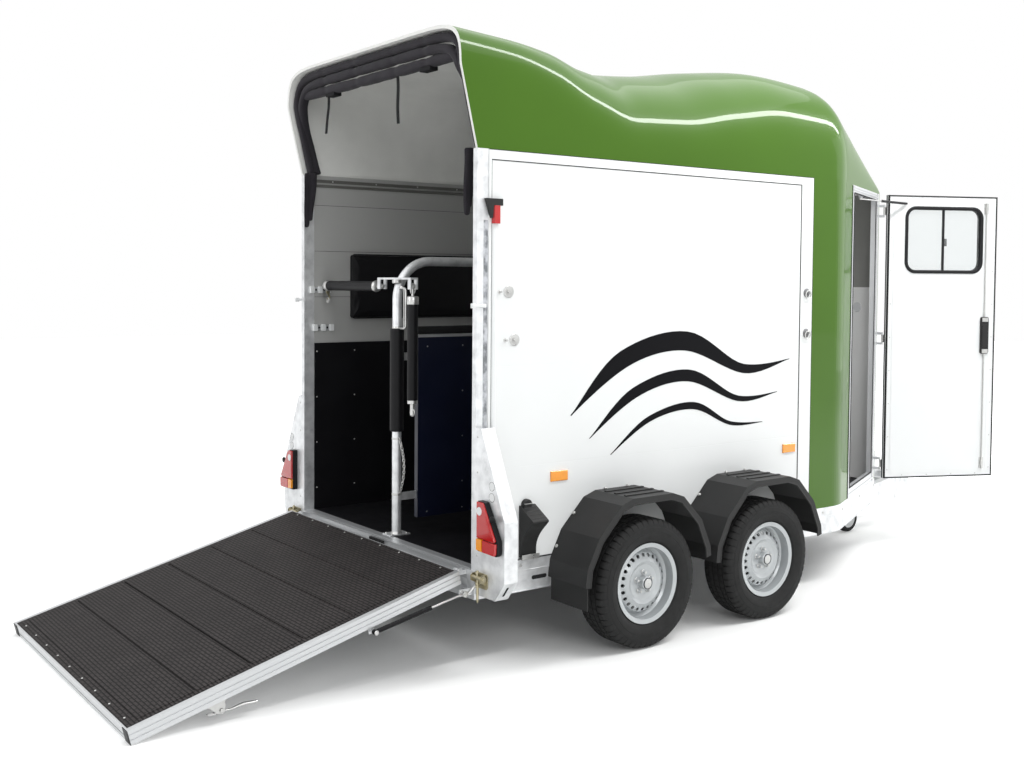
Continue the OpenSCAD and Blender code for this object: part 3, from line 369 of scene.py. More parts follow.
# %% Lenses
def lens(name, colour):
    made = Finish(name, colour, 0.16, Coat_Weight=0.6, Coat_Roughness=0.03)
    flutes = made.node("ShaderNodeTexWave", Vector=made.coords, Scale=70.0)
    flutes.bands_direction = "Z"
    made.shade(made.noise(30, 2), 0.9, 1.1).bump(flutes.outputs["Fac"], 0.25, 0.001)
    return made


red_lens = lens("red_lens", (0.46, 0.006, 0.007))
amber_lens = lens("amber_lens", (0.85, 0.3, 0.006))
clear_lens = lens("clear_lens", (0.72, 0.73, 0.74))

pane = Finish("tinted_pane", (0.86, 0.89, 0.89), 0.03, Transmission_Weight=0.92, IOR=1.45)
pane.gloss(pane.noise(3, 2), 0.02, 0.06)
print("finishes:", len(bpy.data.materials))

# %% [markdown]
# Finishes on the solids
#
# A solid keeps its own mesh and gets the finish of its material slot. Its round faces are
# shaded smooth up to a small angle, and a hair-thin bevel catches the light along sheet edges,
# as it does on folded metal. The brake drum behind a rim's holes is dark cast steel.

# %% Paint the solids
by_slot = {
    "galvanised": galvanised, "rubber": tyre_rubber, "tyre": tyre_rubber, "rim_silver": rim_paint,
    "guard_black": guard_plastic, "panel_white": panel, "shell_green": green, "aluminium": aluminium,
    "kick_black": kick_black, "panel_navy": navy, "floor_rubber": mat_rubber, "pad_black": vinyl,
    "canopy_black": canvas, "fitting_black": black_plastic, "glass": pane, "lamp_red": red_lens,
    "grip_steel": zinc}
slot_of = {s["node"]: s["material_slot"] for s in frame["record"]["subparts"]}
own = {"door_leaf": leaf_white, "overrun_device": cast_iron, "floor_deck": kick_black}


def dress(obj, finish, bevel=0.0, angle=32):
    """Gives an object one finish, smooth shading up to an angle, and a thin bevel."""
    obj.data.materials.clear()
    obj.data.materials.append(finish.material)
    obj.data.shade_smooth()
    obj.data.set_sharp_from_angle(angle=math.radians(angle))
    if bevel:
        rounded = obj.modifiers.new("edges", "BEVEL")
        rounded.width = bevel
        rounded.segments = 2
        rounded.limit_method = "ANGLE"
        rounded.angle_limit = math.radians(50)
        rounded.harden_normals = True


bevelled = {"ramp_frame": 0.002, "rear_frame": 0.0015, "door_leaf": 0.003, "wall_right": 0.001,
            "wall_left": 0.001, "lamp_guards": 0.001,
            "drawbar": 0.004, "wheel_chocks": 0.003}
for name, obj in nodes.items():
    dress(obj, own.get(name, by_slot[slot_of[name]]), bevelled.get(name, 0.0),
          50 if "mudguards" in name else 32)
    if name.startswith("rim_"):
        obj.data.materials.append(cast_iron.material)
        for f in obj.data.polygons:
            f.material_index = 1 if abs(f.center.y) < 1.012 and f.normal.y * f.center.y > 0 else 0
print("painted", len(nodes), "solids")

# %% [markdown]
# A workbench for new pieces
#
# Most pieces are a handful of simple forms welded into one mesh, like the real ones. `Shape`
# collects them: boxes, turned forms, rods, tubes along a line and flat plates. Its last call
# makes the object, puts it on the body it moves with and says which solids it stands for.

# %% Shape
def basis(direction):
    """Two directions square to a third."""
    d = Vector(direction).normalized()
    side = d.cross(Vector((0, 0, 1)))
    if side.length < 1e-3:
        side = d.cross(Vector((0, 1, 0)))
    side.normalize()
    return side, d.cross(side).normalized()


def around(n):
    """The angles of n even steps round a circle."""
    return [2 * math.pi * i / n for i in range(n)]


class Shape:
    """Forms in one mesh, measured from the rear frame and the ground, in metres."""

    def __init__(self, place=None):
        self.verts, self.faces = [], []
        self.place = place or Matrix.Identity(4)

    def add(self, verts, faces):
        start = len(self.verts)
        self.verts += [self.place @ Vector(v) for v in verts]
        self.faces += [[start + i for i in f] for f in faces]
        return self

    def block(self, x0, x1, y0, y1, z0, z1):
        v = [(x, y, z) for x in (x0, x1) for y in (y0, y1) for z in (z0, z1)]
        return self.add(v, [(0, 1, 3, 2), (4, 6, 7, 5), (0, 4, 5, 1), (2, 3, 7, 6), (0, 2, 6, 4),
                            (1, 5, 7, 3)])

    def grid(self, rows, closed=False, caps=False):
        """A skin over rows of points, all of the same length."""
        n = len(rows[0])
        faces = []
        for i in range(len(rows) - 1):
            for j in range(n if closed else n - 1):
                k = (j + 1) % n
                faces.append((i * n + j, i * n + k, (i + 1) * n + k, (i + 1) * n + j))
        if caps:
            faces += [tuple(range(n - 1, -1, -1)), tuple((len(rows) - 1) * n + j for j in range(n))]
        return self.add([p for row in rows for p in row], faces)

    def turned(self, centre, axis, profile, steps=32, caps=True):
        """A profile of (along, radius) pairs turned about an axis through centre."""
        centre, axis = Vector(centre), Vector(axis).normalized()
        a, b = basis(axis)
        rows = [[centre + axis * along + (a * math.cos(t) + b * math.sin(t)) * radius
                 for t in around(steps)] for along, radius in profile]
        return self.grid(rows, closed=True, caps=caps)

    def rod(self, p, q, r, steps=20, soft=0.15):
        """A round bar with softened ends."""
        p, q = Vector(p), Vector(q)
        length, e = (q - p).length, r * soft
        return self.turned(p, q - p, [(0, r - e), (e, r), (length - e, r), (length, r - e)], steps)

    def tube(self, points, r, steps=10, closed=False, flat=1.0, caps=True):
        """A round or flattened bar along points."""
        pts = [Vector(p) for p in points]
        rows, side = [], None
        for i, p in enumerate(pts):
            before = pts[i - 1] if i or closed else p
            after = pts[(i + 1) % len(pts)] if i < len(pts) - 1 or closed else p
            d = (after - before).normalized()
            if side is None:
                side = basis(d)[0]
            side = (side - d * side.dot(d)).normalized()
            up = d.cross(side)
            rr = r[i] if isinstance(r, (list, tuple)) else r
            rows.append([p + side * (math.cos(t) * rr) + up * (math.sin(t) * rr * flat)
                         for t in around(steps)])
        if closed:
            rows.append(rows[0])
        return self.grid(rows, closed=True, caps=caps and not closed)

    def plate(self, outline, origin, u, v, thick):
        """A flat plate: an outline in (u, v) from origin, thick along u x v."""
        origin, u, v = Vector(origin), Vector(u).normalized(), Vector(v).normalized()
        w = u.cross(v) * thick
        n = len(outline)
        low = [origin + u * a + v * b for a, b in outline]
        faces = [tuple(range(n - 1, -1, -1)), tuple(range(n, 2 * n))]
        faces += [(i, (i + 1) % n, n + (i + 1) % n, n + i) for i in range(n)]
        return self.add(low + [p + w for p in low], faces)

    def dome(self, centre, axis, r, rise, steps=10):
        """A rivet's head."""
        return self.turned(centre, axis, [(-0.0005, r), (rise * 0.5, r * 0.88), (rise * 0.9, r * 0.5),
                                          (rise, r * 0.15)],
                           steps)

    def bolt(self, centre, axis, r, rise):
        """A hexagon head on its washer."""
        self.turned(centre, axis, [(-0.0005, r * 1.5), (rise * 0.25, r * 1.5)], 20)
        return self.turned(centre, axis, [(0, r), (rise * 0.85, r), (rise, r * 0.86)], 6)

    def mirrored(self):
        """The same forms again on the other side of the trailer."""
        n = len(self.verts)
        self.verts += [Vector((v.x, -v.y, v.z)) for v in self.verts[:n]]
        self.faces += [[n + i for i in reversed(f)] for f in list(self.faces)]
        return self

    def piece(self, name, finish, body="trailer", stands_for=(), bevel=0.0, angle=35, slot=None, merge=True):
        mesh = bpy.data.meshes.new(name)
        mesh.from_pydata([v + REAR for v in self.verts], [], self.faces)
        bm = bmesh.new()
        bm.from_mesh(mesh)
        if merge:
            bmesh.ops.remove_doubles(bm, verts=bm.verts, dist=1e-6)
        bmesh.ops.recalc_face_normals(bm, faces=bm.faces)
        bm.to_mesh(mesh)
        bm.free()
        obj = bpy.data.objects.new(name, mesh)
        scene.collection.objects.link(obj)
        dress(obj, finish, bevel, angle)
        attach(obj, body)
        if stands_for:
            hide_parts(*stands_for)
        made.append(name)
        return obj


made = []
print("workbench ready")

# %% [markdown]
# Sizes
#
# These are the measures of the trailer that several pieces share, in metres. The slanted wall
# of the nose, the open door and the lowered ramp each have a place of their own, so that a
# piece on them can be drawn straight.

# %% Sizes and places
AHEAD, LEFT, UP = (1, 0, 0), (0, 1, 0), (0, 0, 1)
AFT, RIGHT, DOWN = (-1, 0, 0), (0, -1, 0), (0, 0, -1)
SIDE, WALL, LENGTH = 0.86, 0.032, 3.65
RAIL_TOP, SIDE_TOP, FLOOR = 0.462, 2.362, 0.444
CORNER, BEND_R, NOSE_R, PANEL_END = 2.625, 0.3, 0.09, 2.345
SLANT = math.atan((SIDE - 0.386) / (LENGTH - CORNER))
BEND_X = CORNER - BEND_R * math.tan(SLANT / 2)
NOSE_CX = LENGTH - NOSE_R
NOSE_CY = SIDE - (NOSE_CX - CORNER) * math.tan(SLANT) - NOSE_R / math.cos(SLANT)
AXIS_S, AXIS_OFF, DOOR_OPEN = 1.042, 0.04, math.radians(130.6)
HINGE_BACK, HINGE_Z = 0.04, FLOOR - 0.009
RAMP_DOWN, RAMP_L = 0.036, 1.6
RAMP_SLOPE = math.asin(HINGE_Z / math.hypot(RAMP_L, RAMP_DOWN)) - math.atan(RAMP_DOWN / RAMP_L)
on_nose = Matrix.Translation((CORNER, -SIDE, 0)) @ Matrix.Rotation(SLANT, 4, "Z")
on_door = (on_nose @ Matrix.Translation((AXIS_S, -AXIS_OFF, 0)) @ Matrix.Rotation(DOOR_OPEN, 4, "Z")
           @ Matrix.Translation((-AXIS_S, AXIS_OFF, 0)))
on_ramp = Matrix.Translation((-HINGE_BACK, 0, HINGE_Z)) @ Matrix.Rotation(-RAMP_SLOPE, 4, "Y")
over_there = Matrix.Diagonal((1, -1, 1, 1))


def half_width(x, t=0.0):
    """Half the body's width at a distance x from the rear frame, set in by t."""
    if x <= BEND_X:
        return SIDE - t
    if x < BEND_X + (BEND_R - t) * math.sin(SLANT):
        return SIDE - BEND_R + math.sqrt((BEND_R - t) ** 2 - (x - BEND_X) ** 2)
    if x < NOSE_CX + (NOSE_R - t) * math.sin(SLANT):
        return SIDE - (x - CORNER) * math.tan(SLANT) - t / math.cos(SLANT)
    return NOSE_CY + math.sqrt(max(0.0, (NOSE_R - t) ** 2 - (x - NOSE_CX) ** 2))


print("slant", round(math.degrees(SLANT), 1), "ramp", round(math.degrees(RAMP_SLOPE), 1))

# %% [markdown]
# The moulded roof
#
# The roof is one fibreglass moulding with a square hood over the ramp, a dip behind it and a
# round crown over the horses' heads. It is drawn as sections across the trailer, each half a
# superellipse, whose rise and squareness change smoothly along a table of stations. A second
# skin inside it carries the pale lining, as does the rolled edge that closes the rear rim.

# %% Roof shell
HOOD, RAKE, SHELL_T = 0.57, 0.09, 0.015
STATIONS = [
    (0, 0, 10), (0.25, -15, 8.8), (0.5, -24, 5.8), (0.75, -50, 3.8), (1.05, -40, 2.7), (1.4, -12, 2.7),
    (1.8, 44, 3.0), (2.2, 78, 3.3), (2.55, 56, 3.3), (2.85, -16, 2.8), (3.1, -107, 2.4), (3.3, -209, 2.2),
    (3.45, -308, 2.1), (3.56, -410, 2.1), (3.63, -508, 2.0), (3.65, -550, 2.0)]


def along_table(x, k):
    """One column of the table at x, on a smooth curve that doesn't overshoot."""
    t = STATIONS
    i = max(0, min(len(t) - 2, sum(1 for row in t if row[0] <= x) - 1))
    secant = [(t[j + 1][k] - t[j][k]) / (t[j + 1][0] - t[j][0]) for j in range(len(t) - 1)]

    def slope(j):
        if j == 0 or j == len(t) - 1:
            return secant[min(j, len(secant) - 1)]
        a, b = secant[j - 1], secant[j]
        return 0.0 if a * b <= 0 else 2 * a * b / (a + b)

    h = t[i + 1][0] - t[i][0]
    s = (x - t[i][0]) / h
    return ((2 * s ** 3 - 3 * s ** 2 + 1) * t[i][k] + (s ** 3 - 2 * s ** 2 + s) * h * slope(i)
            + (3 * s ** 2 - 2 * s ** 3) * t[i + 1][k] + (s ** 3 - s ** 2) * h * slope(i + 1))


def roof_row(x, t, steps=72):
    """The section at x from the right over the crown to the left, set in by t."""
    at = x * (LENGTH - t) / LENGTH
    rise = HOOD + along_table(x, 1) / 1000 - t
    power = 2 / along_table(x, 2)
    lean = RAKE * max(0.0, 1 - x / 0.5)
    row = []
    for j in range(steps + 1):
        a = math.pi * j / steps
        c, s = math.cos(a), math.sin(a)
        z = rise * abs(s) ** power
        row.append((at - lean * min(1.0, z / 0.37), -half_width(at, t) * math.copysign(abs(c) ** power, c),
                    SIDE_TOP + z))
    return row


stations = [i * 0.05 for i in range(70)] + [3.5, 3.53, 3.56, 3.585, 3.61, 3.63, 3.642, 3.65]
outer = [roof_row(x, 0.0) for x in stations]
inner = [roof_row(x, SHELL_T) for x in stations]
shell = Shape()
shell.grid(outer)
shell.grid(inner)
shell.grid([outer[0], inner[0]])
shell.grid([[row[0] for row in outer], [row[0] for row in inner]])
shell.grid([[row[-1] for row in outer], [row[-1] for row in inner]])
roof = shell.piece("roof_shell", green, stands_for=["roof"], angle=60)
roof.data.materials.append(lining.material)
for f in roof.data.polygons:
    inside = f.center - REAR
    w = half_width(min(LENGTH, max(0.0, inside.x)))
    if f.normal.x < -0.6 or f.normal.z < -0.2 or (abs(inside.y) < w - 0.006 and f.normal.y * inside.y < -0.05):
        f.material_index = 1
print("roof faces", len(roof.data.polygons))

# %% [markdown]
# The nose moulding
#
# The green nose keeps its solid. The faces of its inner skin, and the ones that the doorway and
# the window cut through it, get a dark grey: painted shade on a moulding that is pale grey inside,
# like the roof's lining.

# %% Nose lining in painted shade
nose = nodes["nose_shell"]
# Dark grey where the moulding is pale: painted shade inside the nose.
nose_shade_grey = Finish("nose_lining_painted_shade", (0.27, 0.27, 0.255), 0.6)
nose_shade_grey.shade(nose_shade_grey.noise(7, 4), 0.92, 1.06)
nose.data.materials.append(nose_shade_grey.material)
for f in nose.data.polygons:
    c = f.center - REAR
    n = f.normal
    outwards = n.x * (1 if c.x > 3.6 else math.sin(SLANT)) + n.y * math.copysign(math.cos(SLANT), c.y)
    if abs(n.z) < 0.5 and (outwards < 0.2 or abs(c.y) < half_width(min(c.x, 3.649)) - 0.02 and c.x < 3.63):
        f.material_index = 1
print("lining faces", sum(f.material_index for f in nose.data.polygons))

# %% [markdown]
# Trims, seams and rivets
#
# An aluminium trim runs over each side panel and along its front edge. A thin dark seal shows
# under it, and another line of seal where the panel stands on the rail. Blind rivets hold it.

# %% Seams and rivets
seams = Shape()
TRIM_X, TRIM_Z = PANEL_END - 0.1, SIDE_TOP - 0.045
seams.block(0.079, TRIM_X, 0.8595, 0.8622, TRIM_Z - 0.004, TRIM_Z)
seams.block(TRIM_X - 0.004, TRIM_X, 0.8595, 0.8622, RAIL_TOP, TRIM_Z)
seams.block(0.077, 0.081, 0.8595, 0.862, RAIL_TOP, TRIM_Z)
seams.block(0.064, PANEL_END, 0.8595, 0.864, RAIL_TOP - 0.001, RAIL_TOP + 0.004)
seams.block(PANEL_END - 0.001, PANEL_END + 0.002, 0.8595, 0.8645, RAIL_TOP, SIDE_TOP)
seams.block(0.063, PANEL_END, 0.86, 0.8646, SIDE_TOP - 0.003, SIDE_TOP)
seams.mirrored().piece("panel_seals", seal)

rivets = Shape()
for i in range(24):
    rivets.dome((0.12 + i * 0.094, 0.864, SIDE_TOP - 0.022), LEFT, 0.0045, 0.0018, 8)
for i in range(14):
    rivets.dome((PANEL_END - 0.018, 0.864, RAIL_TOP + 0.06 + i * 0.134), LEFT, 0.0045, 0.0018, 8)
rivets.mirrored().piece("trim_rivets", leaf_white)

# %% [markdown]
# The bands on the side panel
#
# The real trailer has a drawing on its side. This one has a plain generic ornament there: three
# black bands of film that start thin, swell and run out again, one over the other.

# %% Sweeping bands
def band(shape, points, widths, y=-0.8605, thick=0.0008):
    """A band of film along points (x, z) that swells to each given width."""
    rows = []
    n = 36
    for i in range(n + 1):
        t = i / n * (len(points) - 1)
        k = min(len(points) - 2, int(t))
        s = t - k
        p0, p1 = points[max(0, k - 1)], points[k]
        p2, p3 = points[k + 1], points[min(len(points) - 1, k + 2)]
        at = [0.5 * (2 * b + (c - a) * s + (2 * a - 5 * b + 4 * c - d) * s * s + (3 * b - a - 3 * c + d) * s ** 3)
              for a, b, c, d in zip(p0, p1, p2, p3)]
        to = [0.5 * ((c - a) + 2 * (2 * a - 5 * b + 4 * c - d) * s + 3 * (3 * b - a - 3 * c + d) * s * s)
              for a, b, c, d in zip(p0, p1, p2, p3)]
        w = widths[k] + (widths[k + 1] - widths[k]) * (3 * s * s - 2 * s ** 3)
        length = math.hypot(*to) or 1
        side = (-to[1] / length * w / 2, to[0] / length * w / 2)
        rows.append([(at[0] + side[0], y, at[1] + side[1]), (at[0] - side[0], y, at[1] - side[1])])
    shape.grid([[r[0], r[1], (r[1][0], y - thick, r[1][2]), (r[0][0], y - thick, r[0][2])] for r in rows],
               closed=True, caps=True)


film_black = Finish("black_film", (0.006, 0.006, 0.007), 0.5, Specular_IOR_Level=0.04)
film_black.gloss(film_black.noise(4, 2), 0.42, 0.55)
film = Shape()
band(film, [(0.56, 1.12), (0.9, 1.38), (1.34, 1.46), (1.78, 1.3), (2.16, 1.34)],
     [0.006, 0.092, 0.1, 0.05, 0.003])
band(film, [(0.68, 1.0), (0.98, 1.21), (1.36, 1.28), (1.74, 1.14), (2.06, 1.16)],
     [0.004, 0.056, 0.062, 0.03, 0.003])
band(film, [(0.82, 0.91), (1.08, 1.07), (1.4, 1.12), (1.68, 1.01), (1.94, 1.0)],
     [0.004, 0.03, 0.038, 0.02, 0.003])
film.piece("sweeping_bands", film_black)
print("bands:", len(film.faces), "faces")

# %% [markdown]
# Lamps
#
# Each rear plate carries a tail lamp: a tall red wedge with a clear round lens in its head, an
# amber and a red lens in its foot, in a black housing. A marker lamp hangs from a grey bracket
# high on the side, with its cable conduit below, and amber reflectors sit low on the panel.

# %% Lamps
def lamp_part(outline, x0, x1):
    """A lens on the rear plate: an outline in (distance from the middle, height)."""
    part = Shape()
    for side in (1, -1):
        rows = []
        cy = sum(p[0] for p in outline) / len(outline)
        cz = sum(p[1] for p in outline) / len(outline)
        for x, shrink in ((x0, 1.0), (x1 + 0.003, 1.0), (x1, 0.94), (x1, 0.5)):
            rows.append([(x, side * (cy + (y - cy) * shrink), cz + (z - cz) * shrink) for y, z in outline])
        part.grid(rows, closed=True, caps=True)
    return part


def disc(cy, cz, r, n=24):
    return [(cy + r * math.cos(2 * math.pi * i / n), cz + r * math.sin(2 * math.pi * i / n)) for i in range(n)]


housing = Shape()
for side in (1, -1):
    outline = [(0.915, 0.552), (1.052, 0.55), (1.064, 0.562), (1.064, 0.618), (0.968, 0.776), (0.958, 0.78),
               (0.915, 0.78)]
    housing.grid([[(x, side * y, z) for y, z in outline] for x in (-0.0005, -0.026, -0.028)], closed=True,
                 caps=True)
    housing.turned((-0.026, side * 1.028, 0.712), AFT, [(0, 0.016), (0.008, 0.016), (0.01, 0.012)], 20)
housing.piece("tail_lamp_housings", black_plastic, stands_for=["lamps"], bevel=0.002)
lamp_part([(0.918, 0.615), (1.046, 0.612), (1.056, 0.62), (0.966, 0.772), (0.958, 0.777), (0.918, 0.777)],
          -0.027,
          -0.0385).piece("stop_lenses", red_lens, angle=30)
lamp_part([(0.962, 0.556), (1.05, 0.554), (1.058, 0.562), (1.06, 0.608), (0.962, 0.61)], -0.027,
          -0.0395).piece("fog_lenses", red_lens, angle=30)
lamp_part([(0.918, 0.56), (0.958, 0.556), (0.958, 0.611), (0.918, 0.611)], -0.027,
          -0.0395).piece("turn_lenses", amber_lens, angle=30)
lamp_part(disc(0.941, 0.737, 0.019), -0.0386, -0.0402).piece("reversing_lenses", clear_lens, angle=30)

bracket, marker, conduit = Shape(), Shape(), Shape()
MARK_Z = SIDE_TOP - 0.337
bracket.plate([(0.036, 0.0), (0.13, 0.0), (0.13, -0.031), (0.079, -0.031), (0.074, -0.088), (0.067, -0.088)],
              (0, 0.8625, MARK_Z + 0.113), AHEAD, UP, -0.019)
marker.grid([[(x, y, z) for x, y in ((0.078, 0.861), (0.119, 0.861), (0.12, 0.874), (0.113, 0.883),
                                     (0.084, 0.8835),
                                     (0.077, 0.874))] for z in (MARK_Z, MARK_Z + 0.003, MARK_Z + 0.079,
                                                                MARK_Z + 0.082)],
            closed=True, caps=True)
marker.mirrored().piece("marker_lenses", red_lens, bevel=0.001)
conduit.grid([[(x, y, z) for x, y in ((0.0795, 0.86), (0.1055, 0.86), (0.1045, 0.866), (0.099, 0.869),
                                      (0.086, 0.869), (0.0805, 0.866))] for z in (1.052, MARK_Z + 0.001)],
             closed=True, caps=True)
for x in (0.0785, 0.105):
    bracket.block(x, x + 0.0016, 0.86, 0.8612, 1.052, MARK_Z)
conduit.mirrored().piece("cable_conduits", leaf_white, bevel=0.0008, angle=20)
bracket.mirrored().piece("marker_brackets", guard_plastic, bevel=0.0012)
reflectors = Shape()
for x in (0.436, 2.112):
    reflectors.grid([[(x + a, 0.86 + out, 0.812 + b) for a, b in ((e, e), (0.106 - e, e),
                                                                  (0.106 - e, 0.05 - e), (e, 0.05 - e))]
                     for out, e in ((0, 0), (0.005, 0), (0.0075, 0.003))], closed=True, caps=True)
reflectors.mirrored().piece("reflectors", amber_lens, bevel=0.001)
print("lamps made")

# %% [markdown]
# Windows
#
# The door and the left of the nose have the same sliding window: a tinted pane with one upright
# bar, held by a black rubber section with rounded corners.

# %% Window sections
WAY_S0, WAY_S1, WAY_Z0, WAY_Z1 = 0.278, 0.968, 0.517, 2.314
GLASS_W, GLASS_H, GLASS_Z, GLASS_R = 0.54, 0.41, 1.85, 0.06
LEAF_S0, LEAF_S1, LEAF_T, GAP = 0.238, 1.028, 0.03, 0.008


def rounded(s, z, w, h, r, steps=8):
    """The outline of a rounded rectangle."""
    points = []
    for cx, cz, start in ((s + w - r, z + r, -90), (s + w - r, z + h - r, 0), (s + r, z + h - r, 90),
                          (s + r, z + r, 180)):
        points += [(cx + r * math.cos(math.radians(start + 90 * i / steps)),
                    cz + r * math.sin(math.radians(start + 90 * i / steps))) for i in range(steps + 1)]
    return points


def hoop(shape, s, z, w, h, r, profile):
    """A closed frame: each profile pair is (how far out from the outline, depth y)."""
    rows = [[(a, y, b) for a, b in rounded(s - g, z - g, w + 2 * g, h + 2 * g, max(0.002, r + g))] for g,
            y in profile]
    shape.grid(rows + [rows[0]], closed=True)


def window(place, name, s, y_face, y_back, body, node):
    """Frame, bar and pane of a window whose outer face is at y_face and inner face at y_back."""
    frame_shape, glass = Shape(place), Shape(place)
    for y, out in ((y_face, 1), (y_back, -1)):
        hoop(frame_shape, s, GLASS_Z, GLASS_W, GLASS_H, GLASS_R,
             [(-0.006, y), (-0.006, y + out * 0.004), (0.001, y + out * 0.009), (0.01, y + out * 0.009),
              (0.016, y + out * 0.004), (0.016, y)])
    hoop(frame_shape, s, GLASS_Z, GLASS_W, GLASS_H, GLASS_R, [(-0.006, y_face), (-0.006, y_back),
                                                              (-0.0005, y_back), (-0.0005, y_face)])
    mid = (y_face + y_back) / 2
    bar = s + GLASS_W / 2
    frame_shape.block(bar - 0.007, bar + 0.007, mid - 0.006, mid + 0.006, GLASS_Z + 0.004,
                      GLASS_Z + GLASS_H - 0.004)
    frame_shape.block(bar - 0.03, bar - 0.012, mid - 0.009, mid - 0.003, GLASS_Z + 0.165, GLASS_Z + 0.215)
    frame_shape.piece(name + "_frame", seal, body, [node], angle=40)
    line = rounded(s - 0.0 + 0.005, GLASS_Z + 0.005, GLASS_W - 0.01, GLASS_H - 0.01, GLASS_R - 0.005)
    glass.grid([[(a, mid + d, b) for a, b in line] for d in (-0.002, 0.002)], closed=True, caps=True)
    glass.piece(name + "_pane", pane, body, angle=30)


window(on_door, "door_window", LEAF_S0 + 0.115, -GAP, -GAP - LEAF_T, "door", "door_window")
window(over_there @ on_nose, "nose_window", WAY_S0 + 0.075, WALL, 0.0, "trailer", "nose_window")
print("windows made")

# %% [markdown]
# The door
#
# The leaf is a white sandwich panel in a black rubber seal, with small screws round its edge.
# A long lock plate and its rod sit by the free edge. The doorway has an aluminium frame with
# steps for the seal, a threshold and three hinges.

# %% Door
edge = Shape(on_door)
z0, z1 = RAIL_TOP + 0.016, SIDE_TOP - 0.017
for a0, a1, b0, b1 in ((LEAF_S0, LEAF_S0 + 0.006, z0, z1), (LEAF_S1 - 0.006, LEAF_S1, z0, z1),
                       (LEAF_S0, LEAF_S1, z0, z0 + 0.006), (LEAF_S0, LEAF_S1, z1 - 0.006, z1)):
    edge.block(a0 - 0.001, a1 + 0.001, -GAP - LEAF_T - 0.0015, -GAP - LEAF_T + 0.01, b0 - 0.001, b1 + 0.001)
    edge.block(a0 - 0.001, a1 + 0.001, -GAP - 0.01, -GAP + 0.003, b0 - 0.001, b1 + 0.001)
edge.piece("door_edge_seal", seal, "door", bevel=0.0008)
inner = Shape(on_door)
for a0, a1, b0, b1 in ((LEAF_S0 + 0.038, LEAF_S0 + 0.048, z0 + 0.04, z1 - 0.04),
                       (LEAF_S1 - 0.048, LEAF_S1 - 0.038, z0 + 0.04, z1 - 0.04),
                       (LEAF_S0 + 0.038, LEAF_S1 - 0.038, z0 + 0.03, z0 + 0.04),
                       (LEAF_S0 + 0.038, LEAF_S1 - 0.038, z1 - 0.04, z1 - 0.03)):
    inner.block(a0, a1, -GAP - 0.0005, -GAP + 0.0015, b0, b1)
inner.piece("door_inner_lip", leaf_white, "door", bevel=0.0005)
screws = Shape(on_door)
for i in range(9):
    z = z0 + 0.055 + i * (z1 - z0 - 0.11) / 8
    for s in (LEAF_S0 + 0.022, LEAF_S1 - 0.022):
        screws.dome((s, -GAP, z), LEFT, 0.0045, 0.002, 10)
        screws.dome((s, -GAP - LEAF_T, z), RIGHT, 0.0045, 0.002, 10)
for i in range(4):
    s = LEAF_S0 + 0.12 + i * 0.18
    for z in (z0 + 0.018, z1 - 0.018):
        screws.dome((s, -GAP, z), LEFT, 0.0045, 0.002, 10)
screws.piece("door_screws", zinc, "door")

lock, steel = Shape(on_door), Shape(on_door)
S = WAY_S0
lock.grid([[(S + a, -GAP + out, z) for a, z in rounded(0.01, 1.3, 0.058, 0.245, 0.012, 4)] for out in (0.0005,
    0.015)],
          closed=True, caps=True)
lock.grid([[(S + a, -GAP + out, z) for a, z in rounded(0.016, 1.345, 0.046, 0.15, 0.01, 4)] for out in (0.015,
    0.021)],
          closed=True, caps=True)
lock.piece("door_lock", guard_plastic, "door", ["door_fittings"], bevel=0.002)
for z in (1.312, 1.522):
    steel.block(S + 0.016, S + 0.06, -GAP + 0.012, -GAP + 0.0175, z - 0.008, z + 0.018)
    steel.turned((S + 0.038, -GAP + 0.0175, z + 0.005), LEFT, [(0, 0.006), (0.002, 0.005)], 12)
for p, q in (((S + 0.039, 0.0, WAY_Z0 + 0.01), (S + 0.039, 0.0, 1.3)),
             ((S + 0.039, 0.0, 1.546), (S + 0.039, 0.0, WAY_Z1 - 0.01))):
    steel.rod(p, q, 0.005, 14)
for z in (WAY_Z0 + 0.048, WAY_Z1 - 0.048):
    steel.block(S + 0.024, S + 0.054, -GAP - 0.0005, -GAP + 0.004, z - 0.036, z + 0.036)
    steel.block(S + 0.03, S + 0.048, -GAP + 0.002, 0.0065, z - 0.014, z + 0.014)
    for dz in (-0.028, 0.028):
        steel.dome((S + 0.039, -GAP + 0.004, z + dz), LEFT, 0.005, 0.002, 10)
steel.piece("door_lock_rods", zinc, "door", bevel=0.0006)
leaves = Shape(on_door)
for z in (RAIL_TOP + 0.11, RAIL_TOP + 0.94, SIDE_TOP - 0.12):
    leaves.block(LEAF_S1 - 0.058, AXIS_S - 0.002, -GAP - LEAF_T - 0.005, -GAP - LEAF_T, z - 0.025, z + 0.025)
    leaves.rod((AXIS_S, -AXIS_OFF, z - 0.025), (AXIS_S, -AXIS_OFF, z + 0.025), 0.006, 16)
    for ds, dz in ((-0.03, -0.014), (-0.03, 0.014), (-0.046, 0)):
        leaves.dome((LEAF_S1 + ds, -GAP - LEAF_T - 0.005, z + dz), RIGHT, 0.004, 0.0018, 10)
leaves.piece("door_hinge_leaves", zinc, "door", bevel=0.0008)

